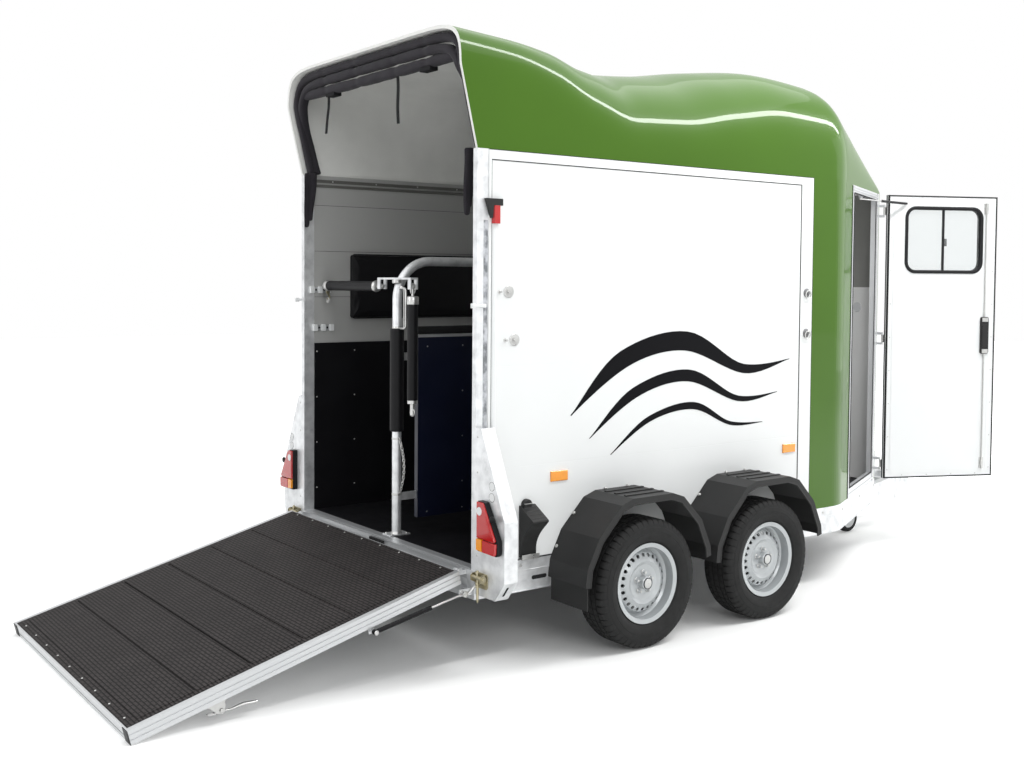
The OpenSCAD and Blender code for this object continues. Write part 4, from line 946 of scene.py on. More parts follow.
rim = Shape(on_nose)
rim.block(WAY_S0 - 0.0005, WAY_S0 + 0.008, -0.004, 0.0, WAY_Z0, WAY_Z1)
rim.block(WAY_S1 - 0.008, WAY_S1 + 0.0005, -0.004, 0.0, WAY_Z0, WAY_Z1)
rim.block(WAY_S0, WAY_S1, -0.004, 0.0, WAY_Z1 - 0.008, WAY_Z1)
rim.block(WAY_S0, WAY_S1, -0.004, 0.0, WAY_Z0, WAY_Z0 + 0.008)
rim.block(WAY_S0 - 0.046, WAY_S0 - 0.041, -0.003, 0.001, RAIL_TOP, WAY_Z1 + 0.04)
rim.block(WAY_S1 + 0.03, WAY_S1 + 0.035, -0.003, 0.001, RAIL_TOP, WAY_Z1 + 0.04)
rim.piece("doorway_seal", seal, bevel=0.0005)
jambs = Shape(on_nose)
for s0, s1 in ((WAY_S0 - 0.034, WAY_S0 - 0.014), (WAY_S1 + 0.012, WAY_S1 + 0.024)):
    jambs.block(s0, s1, -0.003, 0.0, RAIL_TOP + 0.004, WAY_Z1 + 0.036)
jambs.block(WAY_S0 - 0.04, WAY_S1 + 0.08, -0.003, 0.0, WAY_Z1 + 0.012, WAY_Z1 + 0.022)
jambs.block(WAY_S0 - 0.04, WAY_S1 + 0.08, -0.003, 0.0, WAY_Z1 + 0.028, WAY_Z1 + 0.036)
for k in range(4):
    jambs.block(WAY_S0 + 0.004, WAY_S1 - 0.004, 0.003 + k * 0.007, 0.006 + k * 0.007, WAY_Z0, WAY_Z0 + 0.0015)
jambs.block(WAY_S0 - 0.04, WAY_S1 + 0.07, -0.004, 0.0, RAIL_TOP + 0.01, RAIL_TOP + 0.022)
jambs.piece("doorway_steps", aluminium, bevel=0.0006)
print("door made")

# %% [markdown]
# Soft goods
#
# The pads are foam in vinyl. Each is drawn a little slim, turned into an even mesh, and blown up
# by Blender's cloth for twenty frames, so that its faces crown and its skin draws in at the
# corners. A cap keeps it to the room it has, and a box keeps it off what carries it.

# %% Blow up a pad
PUFF_FRAMES = 20


def blown(obj, voxel, pressure, cap, low=None, high=None, hold=None):
    """Remeshes a closed pad and inflates it. Points where hold(p) is true stay where they are."""
    bpy.context.view_layer.objects.active = obj
    even_mesh = obj.modifiers.new("even", "REMESH")
    even_mesh.mode = "VOXEL"
    even_mesh.voxel_size = voxel
    even_mesh.use_smooth_shade = True
    bpy.ops.object.modifier_apply(modifier="even")
    relax = obj.modifiers.new("relax", "SMOOTH")
    relax.factor, relax.iterations = 0.5, 3
    bpy.ops.object.modifier_apply(modifier="relax")
    rest = [v.co.copy() for v in obj.data.vertices]
    held = [i for i, p in enumerate(rest) if hold and hold(p - REAR)]
    if held:
        obj.vertex_groups.new(name="held").add(held, 1.0, "REPLACE")
    cloth = obj.modifiers.new("cloth", "CLOTH")
    cloth.settings.quality = 4
    cloth.settings.use_pressure = True
    cloth.settings.uniform_pressure_force = pressure
    cloth.settings.effector_weights.gravity = 0
    cloth.settings.tension_stiffness = 20
    cloth.settings.bending_stiffness = 1.5
    if held:
        cloth.settings.vertex_group_mass = "held"
    cloth.point_cache.frame_start, cloth.point_cache.frame_end = 1, PUFF_FRAMES
    for frame_number in range(1, PUFF_FRAMES + 1):
        scene.frame_set(frame_number)
    puffed = obj.evaluated_get(bpy.context.evaluated_depsgraph_get()).to_mesh()
    moved = [v.co.copy() for v in puffed.vertices]
    obj.modifiers.remove(cloth)
    scene.frame_set(1)
    for v, p, q in zip(obj.data.vertices, rest, moved):
        d = q - p
        v.co = p + d * min(1.0, cap / max(d.length, 1e-9))
    for v in obj.data.vertices:
        for k in range(3):
            if low:
                v.co[k] = max(v.co[k], low[k] + REAR[k])
            if high:
                v.co[k] = min(v.co[k], high[k] + REAR[k])
    finer = obj.modifiers.new("finer", "SUBSURF")
    finer.levels = finer.render_levels = 1
    obj.data.shade_smooth()
    return obj


thread = Finish("grey_thread", (0.09, 0.09, 0.095), 0.7)
thread.bump(thread.noise(900, 2), 0.4, 0.0003)
print("cloth ready")

# %% [markdown]
# Head pad and post sleeve
#
# The head pad is a long foam board in vinyl on the left wall, with piping round its face. The
# sleeve is laced round the rear post of the partition, with a slot for the bracket it passes.

# %% Pads
X0, X1, Z0, Z1, Y0, Y1 = 0.29, 1.25, 1.54, 1.92, 0.786, 0.8277
head = Shape()
rows = []
for y, e in ((Y1, 0.004), (Y1 - 0.006, 0.002), (Y0 + 0.016, 0.002), (Y0 + 0.007, 0.007)):
    rows.append([(a, y, b) for a, b in rounded(X0 + e, Z0 + e, X1 - X0 - 2 * e, Z1 - Z0 - 2 * e, 0.016, 5)])
head.grid(rows, closed=True, caps=True)
pad = head.piece("head_pad", vinyl, stands_for=["pads"])
blown(pad, 0.006, 4.0, 0.006, (X0 - 0.002, Y0 + 0.0005, Z0 - 0.002), (X1 + 0.002, Y1, Z1 + 0.002),
      hold=lambda p: p.y > Y1 - 0.004)
piping = Shape()
for y, e in ((Y0 + 0.0075, 0.0045),):
    piping.tube([(a, y, b) for a, b in rounded(X0 + e, Z0 + e, X1 - X0 - 2 * e, Z1 - Z0 - 2 * e, 0.015, 5)],
                0.0032, 8, closed=True)
piping.piece("head_pad_piping", vinyl)

PX = 0.11
sleeve = Shape()
sleeve.turned((PX, 0, 0.98), UP, [(0.002, 0.026), (0.0, 0.032), (0.006, 0.037), (0.534, 0.037), (0.54, 0.032),
                                          (0.538, 0.026), (0.536, 0.025), (0.004, 0.025), (0.002, 0.026)], 40,
                                          caps=False)
sleeve = sleeve.piece("post_sleeve", vinyl)
blown(sleeve, 0.005, 3.0, 0.003, (PX - 0.04, -0.04, 0.98), (PX + 0.04, 0.04, 1.52),
      hold=lambda p: math.hypot(p.x - PX, p.y) < 0.029)
for v in sleeve.data.vertices:
    flat = Vector((v.co.x - REAR.x - PX, v.co.y))
    if flat.length < 0.0248:
        flat = flat.normalized() * 0.0248
        v.co.x, v.co.y = REAR.x + PX + flat.x, flat.y
slot_cut = Shape().block(PX, PX + 0.06, -0.0075, 0.0075, 1.346, 1.394).piece("slot_cut", vinyl)
made.pop()
cut = sleeve.modifiers.new("slot", "BOOLEAN")
cut.operation, cut.object, cut.solver = "DIFFERENCE", slot_cut, "EXACT"
bpy.context.view_layer.objects.active = sleeve
bpy.ops.object.modifier_move_to_index(modifier="slot", index=0)
bpy.ops.object.modifier_apply(modifier="slot")
bpy.data.objects.remove(slot_cut, do_unlink=True)
print("pads", len(pad.data.vertices), len(sleeve.data.vertices))

# %% [markdown]
# Padded bars
#
# Two rear bars turn on the partition's bracket: the left one is across its stall, the right one
# hangs down. Two more bars cross the stalls at breast height. Each is a steel bar in a foam tube.

# %% Bars
def foam(name, p, q, r, body, nodes_for=(), inset=0.0026):
    """A foam tube in vinyl between two points."""
    p, q = Vector(p), Vector(q)
    length = (q - p).length
    tube = Shape().turned(p, q - p, [(0.0, r - 0.01), (0.003, r - 0.004), (0.01, r - inset),
                                     (length / 2, r - inset),
                                     (length - 0.01, r - inset), (length - 0.003, r - 0.004),
                                     (length, r - 0.01)], 36)
    obj = tube.piece(name, vinyl, body, nodes_for)
    low = [min(p[k], q[k]) - (r if abs((q - p)[k]) < 1e-6 else 0) for k in range(3)]
    high = [max(p[k], q[k]) + (r if abs((q - p)[k]) < 1e-6 else 0) for k in range(3)]
    blown(obj, 0.005, 3.0, 0.0025, low, high)
    return obj


PIVOT_Y, PIVOT_Z, BAR_R, BAR_L = 0.15, FLOOR + 1.29, 0.03, 0.655
upright = Matrix.Translation((PX, -PIVOT_Y, PIVOT_Z)) @ Matrix.Rotation(math.radians(-90), 4, "X")
across = Matrix.Translation((PX, PIVOT_Y, PIVOT_Z))
for side, place, body in (("left", across, "bar_left"), ("right", upright, "bar_right")):
    foam("rear_bar_%s_foam" % side, place @ Vector((0, 0.06, 0)), place @ Vector((0, BAR_L - 0.07, 0)), BAR_R,
         body,
         ["rear_bar_" + side])
    steel = Shape(place)
    steel.turned((-0.007, 0, 0), AHEAD, [(0, 0.0056), (0, 0.011), (0.002, 0.013), (0.012, 0.013),
                                         (0.014, 0.011),
                                             (0.014, 0.0056)], 28, caps=False)
    steel.rod((0, 0.01, 0), (0, 0.062, 0), 0.007, 16)
    steel.turned((0, 0.05, 0), LEFT, [(0, 0.02), (0.003, 0.026), (0.034, 0.026), (0.036, 0.024)], 28)
    steel.rod((0, BAR_L - 0.078, 0), (0, BAR_L, 0), 0.012, 20)
    steel.turned((0, BAR_L - 0.085, 0), LEFT, [(0, 0.024), (0.002, 0.026), (0.024, 0.026), (0.026, 0.02)], 28)
    steel.tube([(0, BAR_L - 0.016 + 0.02 * math.sin(a), 0.02 * math.cos(a) + 0.0) for a in
                around(20)], 0.0026, 8, closed=True)
    steel.piece("rear_bar_%s_steel" % side, zinc, body)
FX, BREAST_Z = PANEL_END - 0.295, FLOOR + 0.806
for side, s in (("left", 1), ("right", -1)):
    foam("breast_bar_" + side, (FX, s * 0.05, BREAST_Z), (FX, s * 0.79, BREAST_Z), 0.03, "trailer",
         ["breast_bars"] if s > 0 else ())
bars = Shape()
bars.rod((FX, 0.0245, BREAST_Z), (FX, 0.052, BREAST_Z), 0.012)
bars.rod((FX, 0.788, BREAST_Z), (FX, 0.8215, BREAST_Z), 0.012)
bars.turned((FX, 0.812, BREAST_Z), LEFT, [(0, 0.026), (0.008, 0.03), (0.0095, 0.03)], 24)
bars.mirrored().piece("breast_bar_ends", zinc)
print("bars made")

# %% [markdown]
# Canopy
#
# The canopy is rolled up under the hood. Two rolls of cloth follow the arch and a third one lies
# straight across below them. Straps hold them, and two of the straps hang down. At each side the
# ends of the rolls run down the post as a tapered flap.

# %% Canopy
def arch_path(t, n=110):
    """Points along the rear arch, evenly spaced, set in by t: (y, z over the panels)."""
    fine = [((SIDE - t) * math.copysign(abs(math.cos(a)) ** 0.2, math.cos(a)),
             (HOOD - t) * math.sin(a) ** 0.2)
            for a in (math.pi * (0.5 - 0.5 * math.cos(math.pi * i / 4000)) for i in range(4001))]
    run = [0.0]
    for p, q in zip(fine, fine[1:]):
        run.append(run[-1] + math.hypot(q[0] - p[0], q[1] - p[1]))
    path, k = [], 0
    for i in range(n + 1):
        want = run[-1] * i / n
        while k < len(run) - 2 and run[k + 1] < want:
            k += 1
        s = (want - run[k]) / max(1e-9, run[k + 1] - run[k])
        path.append((fine[k][0] + (fine[k + 1][0] - fine[k][0]) * s,
                     fine[k][1] + (fine[k + 1][1] - fine[k][1]) * s))
    return path


def rolled(shape, x, inset, half_x, half_in, seed, path=None):
    """One roll along the arch: a soft oval tube with creases and a pinch at each tie.

    x and inset each have a value at the sides and one at the crown."""
    if path is None:
        path = []
        for low, high in zip(arch_path(inset[0]), arch_path(inset[1])):
            up = max(0.0, min(1.0, (low[1] - 0.22) / 0.26))
            up *= up * (3 - 2 * up)
            path.append((low[0] + (high[0] - low[0]) * up, low[1] + (high[1] - low[1]) * up))
    rows = []
    for i, (y, z) in enumerate(path):
        a, b = path[max(0, i - 1)], path[min(len(path) - 1, i + 1)]
        along = Vector((0, b[0] - a[0], b[1] - a[1])).normalized()
        inward = Vector((0, -along.z, along.y))
        if inward.dot(Vector((0, -y, 0.2 - z))) < 0:
            inward = -inward
        lean = RAKE * min(1.0, z / 0.37)
        up = max(0.0, min(1.0, z / 0.45))
        at = x[0] + (x[1] - x[0]) * up
        tie = max(math.exp(-((y - s) / 0.022) ** 2) for s in (-0.5, -0.222, 0.16, 0.49))
        row = []
        for k in range(18):
            t = 2 * math.pi * k / 18
            c, s = math.cos(t), math.sin(t)
            wrinkle = noise.noise(Vector((i * 0.22 + seed, c * 1.6, s * 1.6))) * 0.1 + noise.noise(
                Vector((i * 0.8, c * 3 + seed, s * 3))) * 0.05
            grow = (1 - 0.16 * tie) * (1 + wrinkle)
            px = (half_x + 0.006 * up) * grow * math.copysign(abs(c) ** 0.75, c)
            pn = half_in * grow * math.copysign(abs(s) ** 0.75, s)
            p = Vector((at - lean, y, SIDE_TOP + max(0.004, z))) + Vector((px, 0, 0)) + inward * pn
            row.append(p)
        rows.append(row)
    shape.grid(rows, closed=True, caps=True)


roll = Shape()
rolled(roll, (0.042, 0.046), (0.041, 0.044), 0.021, 0.022, 0.0)
rolled(roll, (0.08, 0.05), (0.041, 0.09), 0.021, 0.023, 5.0)
rolled(roll, (0.062, 0.062), (0, 0), 0.022, 0.026, 9.0,
       [(0.77 - 1.545 * i / 90, 0.43 - 0.004 * math.sin(math.pi * i / 90)) for i in range(91)])
roll = roll.piece("canopy_roll", canvas, stands_for=["canopy"], merge=False, angle=80)
finer = roll.modifiers.new("finer", "SUBSURF")
finer.levels = finer.render_levels = 1
for side, s in (("left", 1), ("right", -1)):
    flap = Shape()
    shift, splay = (-0.042, 0.0) if s > 0 else (-0.04, 0.032)
    for x0, x1, x2, y, drop in ((0.028, 0.098, 0.03, 0.803, 0.3), (0.05, 0.108, 0.026, 0.794, 0.262)):
        x0, x1, y = x0 + shift, x1 + shift, y - splay
        rows = []
        for i in range(15):
            t = i / 14
            z = SIDE_TOP + 0.012 - drop * t - 0.012 * t
            wave = 0.0035 * math.sin(7 * t + y * 90)
            right_x = x1 + (x0 + x2 - x1) * t ** 1.3
            mid = (x0 + right_x) / 2
            half = (right_x - x0) / 2
            thick = 0.0042 - 0.0018 * t
            rows.append([(mid + half * math.cos(a), s * (y + wave + thick * math.sin(a) + 0.002 * math.cos(3 * a)), z)
                         for a in around(16)])
        flap.grid(rows, closed=True, caps=True)
    flap = flap.piece("canopy_flap_" + side, canvas, angle=70)
    finer = flap.modifiers.new("finer", "SUBSURF")
    finer.levels = finer.render_levels = 1

ties = Shape()
for y, top, foot, slack in ((-0.222, 2.774, 2.536, 0.004), (0.488, 2.772, 2.562, 0.04)):
    hang = [(-0.03 + 0.006 * t + 0.002 * math.sin(7 * t), y + slack * t * t, top + (foot - top) * t)
            for t in (i / 14 for i in range(15))]
    ties.grid([[(p[0], p[1] - 0.0125, p[2]), (p[0], p[1] + 0.0125, p[2]),
                (p[0] + 0.0026, p[1] + 0.0125, p[2]),
                (p[0] + 0.0026, p[1] - 0.0125, p[2])] for p in hang], closed=True, caps=True)
for y in (-0.5, 0.43):
    ties.block(-0.052, -0.006, y - 0.045, y + 0.045, 2.75, 2.768)
ties.piece("canopy_straps", web, bevel=0.0006)
print("canopy made")
# %% [markdown]
# Tyres
#
# A tyre is a profile turned about its axle, but a smooth one looks like a toy. Each point of this
# profile knows what part of the tyre it is on, and as it goes round, the shoulder and the ribs are
# cut across at even steps. The round grooves are in the profile itself.

# %% Tyre
WHEEL_Y, TYRE_R = 1.022, 0.314
WHEELS = [("rear", 0.852), ("front", 1.716)]
PLAIN, SHOULDER, RIB = 0, 1, 2
FACE = [
    (0.0695, 0.179, PLAIN), (0.0705, 0.1965, PLAIN), (0.076, 0.201, PLAIN), (0.079, 0.204, PLAIN),
    (0.084, 0.206, PLAIN), (0.09, 0.216, PLAIN), (0.095, 0.229, PLAIN), (0.097, 0.24, PLAIN),
    (0.0975, 0.248, PLAIN), (0.0962, 0.249, PLAIN), (0.0962, 0.252, PLAIN), (0.0972, 0.2532, PLAIN),
    (0.0968, 0.262, PLAIN), (0.0952, 0.274, PLAIN), (0.0938, 0.275, PLAIN), (0.0925, 0.279, PLAIN),
    (0.0928, 0.283, SHOULDER), (0.09, 0.292, SHOULDER), (0.085, 0.301, SHOULDER), (0.077, 0.309, SHOULDER),
    (0.066, 0.3133, SHOULDER), (0.052, TYRE_R, SHOULDER), (0.0515, 0.3065, PLAIN), (0.0445, 0.3065, PLAIN),
    (0.044, TYRE_R, RIB), (0.0215, TYRE_R, RIB), (0.021, 0.3065, PLAIN), (0.014, 0.3065, PLAIN),
    (0.0135, TYRE_R, RIB)]
BACK = [(-a, r, zone) for a, r, zone in reversed(FACE) if r > 0.3 or a in (0.0695, 0.0705, 0.09, 0.0975,
    0.0925)]
SHARES = (0.0, 0.28, 0.32, 0.42, 0.46, 0.78, 0.83, 0.94)
BLOCKS = 54


def tyre(side):
    """A tyre about its own centre: side is 1 when its face looks along +y."""
    rows = []
    for i in range(BLOCKS * 8 + 1):
        share = SHARES[i % 8]
        turn = 2 * math.pi * (i // 8 + share) / BLOCKS
        row = []
        for along, r, zone in FACE + BACK:
            if zone == SHOULDER and share in (0.83, 0.94):
                r -= 0.0045 if r < 0.31 else 0.0065
            if zone == RIB and share in (0.32, 0.42):
                r -= 0.003
            row.append((r * math.cos(turn), side * along, r * math.sin(turn)))
        rows.append(row)
    return rows


for place, x in WHEELS:
    for name, side in (("right", -1), ("left", 1)):
        which = "%s_%s" % (place, name)
        Shape(Matrix.Translation((x, side * WHEEL_Y, TYRE_R))).grid(tyre(side), closed=True).piece(
            "tread_" + which, tyre_rubber, "wheel_" + which, ["tyre_" + which], angle=24)
print("tyres:", BLOCKS, "blocks round")

# %% [markdown]
# Wheel details
#
# The pressed rim is right as it is. What it lacks is small: the bright centre cap in its dark ring,
# the nuts' washers and studs, and the rubber valve.

# %% Centre caps, studs and valves
for place, x in WHEELS:
    for name, side in (("right", -1), ("left", 1)):
        which = "%s_%s" % (place, name)
        hub = Matrix.Translation((x, side * WHEEL_Y, TYRE_R)) @ Matrix.Diagonal((1, side, 1, 1))
        cap = Shape(hub)
        cap.turned((0, 0, 0), LEFT, [(0.073, 0.0225), (0.079, 0.0228), (0.0805, 0.0215), (0.0815, 0.016),
                                          (0.082, 0.004)], 36)
        for i in range(5):
            a = math.radians(72 * i + 18)
            cx, cz = 0.049 * math.cos(a), 0.049 * math.sin(a)
            cap.turned((cx, 0, cz), LEFT, [(0.045, 0.0128), (0.0475, 0.0128), (0.049, 0.011)], 20)
            cap.turned((cx, 0, cz), LEFT, [(0.059, 0.0058), (0.064, 0.0058), (0.065, 0.0045)], 14)
        cap.piece("centre_cap_" + which, zinc, "wheel_" + which)
        ring = Shape(hub)
        ring.turned((0, 0, 0), LEFT, [(0.072, 0.0235), (0.072, 0.029), (0.081, 0.0272), (0.0815, 0.025),
                                           (0.0795, 0.0236), (0.072, 0.0235)], 36, caps=False)
        a = math.radians(128)
        foot = Vector((0.158 * math.cos(a), 0.02, 0.158 * math.sin(a)))
        ring.turned(foot, (0.1 * math.cos(a), 1, 0.1 * math.sin(a)),
                    [(0, 0.0085), (0.004, 0.0085), (0.007, 0.0055), (0.03, 0.005), (0.034, 0.0062),
                     (0.044, 0.0062),
                     (0.046, 0.005)], 16)
        ring.piece("hub_ring_" + which, black_plastic, "wheel_" + which)
print("wheel details made")

# %% [markdown]
# Mudguards
#
# The pressed guards keep their solids. A rolled bead stiffens their outer edge, and screws with
# broad washers hold their inner edge to the panel.

# %% Mudguard beads and screws
ARCH = [(-0.425, 0.045), (-0.415, 0.13), (-0.345, 0.265), (-0.205, 0.405), (-0.13, 0.43), (0.13, 0.43),
        (0.205, 0.405), (0.33, 0.28), (0.395, 0.14), (0.4, 0.09)]
GUARD_Y = 1.1345
bead, screws = Shape(), Shape()
for place, x in WHEELS:
    inset = [(px * (1 - 0.031 / math.hypot(px, pz)), pz * (1 - 0.031 / math.hypot(px, pz))) for px,
             pz in ARCH]
    soft = []
    for k in range(len(inset)):
        for t in (0.0, 0.35, 0.65):
            a, b = inset[k], inset[min(len(inset) - 1, k + 1)]
            if k < len(inset) - 1 or t == 0.0:
                soft.append((x + a[0] + (b[0] - a[0]) * t, GUARD_Y - 0.0025,
                             TYRE_R + a[1] + (b[1] - a[1]) * t))
    bead.tube(soft, 0.0042, 8)
    for px, pz in ((-0.385, 0.19), (-0.28, 0.338), (-0.075, 0.438), (0.075, 0.438), (0.27, 0.35),
                   (0.372, 0.205)):
        out = Vector((px, 0, pz)).normalized()
        at = Vector((x + px, 0.874, TYRE_R + pz)) - out * 0.006
        screws.turned(at, out, [(0, 0.009), (0.0065, 0.009), (0.0075, 0.008)], 16)
        screws.dome(at + out * 0.0075, out, 0.0055, 0.003, 12)
bead.mirrored().piece("mudguard_beads", guard_plastic)
screws.mirrored().piece("mudguard_screws", zinc)
print("mudguards dressed")

# %% [markdown]
# Jockey wheel
#
# A solid rubber tyre on a white pressed rim, with a hub cap on each side.

# %% Jockey wheel
JX, JR = 3.87, 0.095
small = Shape().turned((JX, 0, JR), LEFT, [
    (-0.016, 0.058), (-0.021, 0.062), (-0.0245, 0.07), (-0.025, 0.08), (-0.0225, 0.089), (-0.017, 0.0938),
    (-0.01, 0.095), (-0.0092, 0.0932), (-0.0008, 0.0932), (0, 0.095), (0.0008, 0.0932), (0.0092, 0.0932),
    (0.01, 0.095), (0.017, 0.0938), (0.0225, 0.089), (0.025, 0.08), (0.0245, 0.07), (0.021, 0.062),
    (0.016, 0.058), (-0.016, 0.058)], 72, caps=False)
small.piece("jockey_tyre", tyre_rubber, "jockey_roller", ["jockey_wheel"], angle=40)
rim = Shape()
for s in (-1, 1):
    rim.turned((JX, 0, JR), (0, s, 0), [(0.0005, 0.009), (0.024, 0.009), (0.0245, 0.02), (0.0215, 0.0225),
                                        (0.012, 0.025),
                                        (0.008, 0.033), (0.008, 0.048), (0.013, 0.0555), (0.02, 0.0595),
                                        (0.0225, 0.064), (0.0205, 0.065), (0.0165, 0.0605), (0.0005, 0.058)],
                                        48, caps=False)
rim.piece("jockey_rim", leaf_white, "jockey_roller", angle=40)
print("jockey wheel made")
# %% [markdown]
# The rear frame's metalwork
#
# The sill is an aluminium section with two lips over a sunk web. The chassis rail under the body
# has a bright upper strip, bolts, an oblong hole and a thin lower flange, which run on round the
# nose. Drawing them as long skins that follow the body's outline keeps their edges crisp.

# %% Sill and rail strips
def along_body(shape, profile, x0, x1):
    """A skin that follows the body's side from x0 to x1: profile of (outwards, height)."""
    places = [x0] + [x for x in [0.3 * i for i in range(1, 9)] + [2.56 + 0.0135 * i for i in range(10)]
                     + [2.8, 3.1, 3.4, 3.52] + [3.56 + 0.009 * i for i in range(10)] if x0 < x < x1] + [x1]
    return shape.grid([[(x, half_width(x, -out), z) for out, z in profile] for x in places], closed=True,
                      caps=True)


sill = Shape()
for profile in ([(-0.0045, 0.4005), (-0.0072, 0.4005), (-0.0072, 0.404), (-0.0062, 0.4055), (-0.0062, 0.4385),
                 (-0.0072, 0.44), (-0.0072, 0.4445), (-0.0045, 0.4445)],
                [(-0.0045, 0.3125), (-0.0072, 0.3125), (-0.0072, 0.3165), (-0.0062, 0.318), (-0.0062, 0.346),
                 (-0.0072, 0.3475), (-0.0072, 0.3515), (-0.0045, 0.3515)]):
    sill.plate(profile, (0, -0.803, 0), AHEAD, UP, -1.606)
sill.plate([(-0.0045, 0.444), (0.062, 0.444), (0.062, 0.4452), (0.04, 0.4452), (0.039, 0.446), (0.01, 0.446),
            (0.009, 0.4452), (-0.006, 0.4452)], (0, -0.803, 0), AHEAD, UP, -1.606)
sill.piece("sill_strips", aluminium, bevel=0.0004)

strip = Shape()
along_body(strip, [(0, 0.4075), (0.0026, 0.4075), (0.0026, 0.4105), (0.0016, 0.412), (0.0016, 0.461),
                   (0, 0.461)], 0.076, 3.64)
along_body(strip, [(0, 0.3122), (0.0048, 0.3122), (0.0048, 0.316), (0, 0.317)], 0.076, 3.64)
strip.mirrored().piece("rail_strips", galvanised, angle=25)

# The oblong holes are drawn as thin dark plates on the rail: painted shade inside the holes.
holes, heads = Shape(), Shape()
for x in (0.373, 0.64, 2.1, 2.42):
    holes.plate([(x + 0.036 * s + 0.0095 * math.cos(a), 0.3675 + 0.0095 * math.sin(a)) for s,
                 turn in ((1, -90), (-1, 90))
                 for a in (math.radians(turn + 22.5 * i) for i in range(9))], (0, 0.8604, 0), AHEAD, UP,
                 -0.0004)
for x in (0.261, 0.52, 2.2, 2.33, 2.48):
    heads.bolt((x, 0.8614, 0.435), LEFT, 0.0055, 0.004)
for x in (2.712, 3.161, 3.576):
    heads.bolt((x, half_width(x, -0.0012), 0.424), (math.sin(SLANT), math.cos(SLANT), 0), 0.006, 0.0045)
for s in (-1, 1):
    for y in (0.1, 0.24):
        heads.bolt((3.6508, y * s, 0.435), AHEAD, 0.006, 0.0045)
holes.mirrored().piece("rail_holes_painted_shade", seal)
heads.mirrored().piece("rail_bolts", zinc)
print("strips:", len(strip.faces), "faces")

# %% [markdown]
# Lamp plates
#
# Each folded plate has two round holes over the lamp, drawn as pale discs with dark rims, rivets
# to the post, and a slot in the fold at its foot, drawn as a dark strip: the rims and the slot are
# painted shade. Above it the post has a groove down its outer side, drawn as a flat strip of darker
# mottled zinc: the mottle is the zinc's own, the darker tone is painted shade in the groove.

# %% Lamp plate details
# The dark rims round the pale hole discs, and the dark slot in the fold, are painted shade.
spots, slots, studs = Shape(), Shape(), Shape()
for z in (0.85, 0.8):
    spots.turned((-0.0001, 0.984, z), AFT, [(0, 0.019), (0.0004, 0.019)], 32)
    slots.turned((-0.0001, 0.984, z), AFT, [(0, 0.0205), (0.0003, 0.0205)], 32)
fold = (Vector((0, 1.08, 0.43)) - Vector((0, 1.01, 0.34))).normalized()
out = Vector((0, fold.z, -fold.y))
slots.plate([(a * 0.03, b) for a, b in ((-1, -0.004), (-0.9, -0.006), (0.9, -0.006), (1, -0.004), (1, 0.004),
                                        (0.9, 0.006),
                                         (-0.9, 0.006), (-1, 0.004))],
            Vector((0.034, 1.045, 0.385)) + out * 0.0002, fold, AHEAD, 0.0006)
for z in (0.38, 0.52, 0.9, 1.06):
    studs.dome((-0.0001, 0.874, z), AFT, 0.0055, 0.0025, 12)
slots.mirrored().piece("plate_slots_painted_shade", seal)
# A flat strip, darker than the galvanised post: painted shade in the groove, over the zinc's own mottle.
groove_shade_zinc = Finish("groove_shade_zinc", (0.34, 0.35, 0.37), 0.55, 0.55)
groove_shade_zinc.paint(groove_shade_zinc.mix(groove_shade_zinc.ramp(groove_shade_zinc.noise(26, 5), 0.4, 0.62), (0.17, 0.18, 0.19),
                              (0.5, 0.51, 0.54)))
groove = Shape().block(0.036, 0.059, 0.8598, 0.8605, 1.06, 2.04)
groove.mirrored().piece("post_grooves", groove_shade_zinc)
spots.mirrored().piece("plate_holes", leaf_white)
studs.mirrored().piece("plate_rivets", zinc)
print("plates dressed")

# %% [markdown]
# Hinge hardware
#
# Beside each end of the ramp sits a bracket of yellow passivated steel: a barrel across, a
# threaded rod down through it with its nuts, and a bent arm to the foot of the gas strut.

# %% Hinge brackets
hinge = Shape()
hinge.plate([(0.868, 0.378), (0.952, 0.378), (0.96, 0.388), (0.96, 0.438), (0.952, 0.448), (0.868, 0.448)],
            (-0.0005, 0, 0), LEFT, UP, -0.005)
for y in (0.872, 0.944):
    hinge.plate([(-0.004, 0.396), (-0.036, 0.414), (-0.036, 0.436), (-0.026, 0.446), (-0.004, 0.446)],
                (0, y, 0),
                AHEAD, UP, -0.004)
hinge.rod((-0.024, 0.866, 0.428), (-0.024, 0.958, 0.428), 0.0095, 24)
hinge.bolt((-0.024, 0.957, 0.428), LEFT, 0.0105, 0.007)
hinge.rod((-0.024, 0.912, 0.462), (-0.024, 0.912, 0.33), 0.0058, 16)
hinge.turned((-0.024, 0.912, 0.33), DOWN, [(0, 0.0058), (0.01, 0.0044), (0.016, 0.002)], 16)
for z in (0.446, 0.398, 0.384):
    hinge.turned((-0.024, 0.912, z), UP, [(0, 0.0105), (0.0075, 0.0105), (0.0085, 0.0095)], 6)
for k in range(14):
    z = 0.334 + k * 0.0034
    hinge.turned((-0.024, 0.912, z), UP, [(0, 0.0059), (0.0012, 0.0066), (0.0024, 0.0059)], 16, caps=False)
hinge.mirrored().piece("hinge_brackets", yellow_zinc, bevel=0.0008)

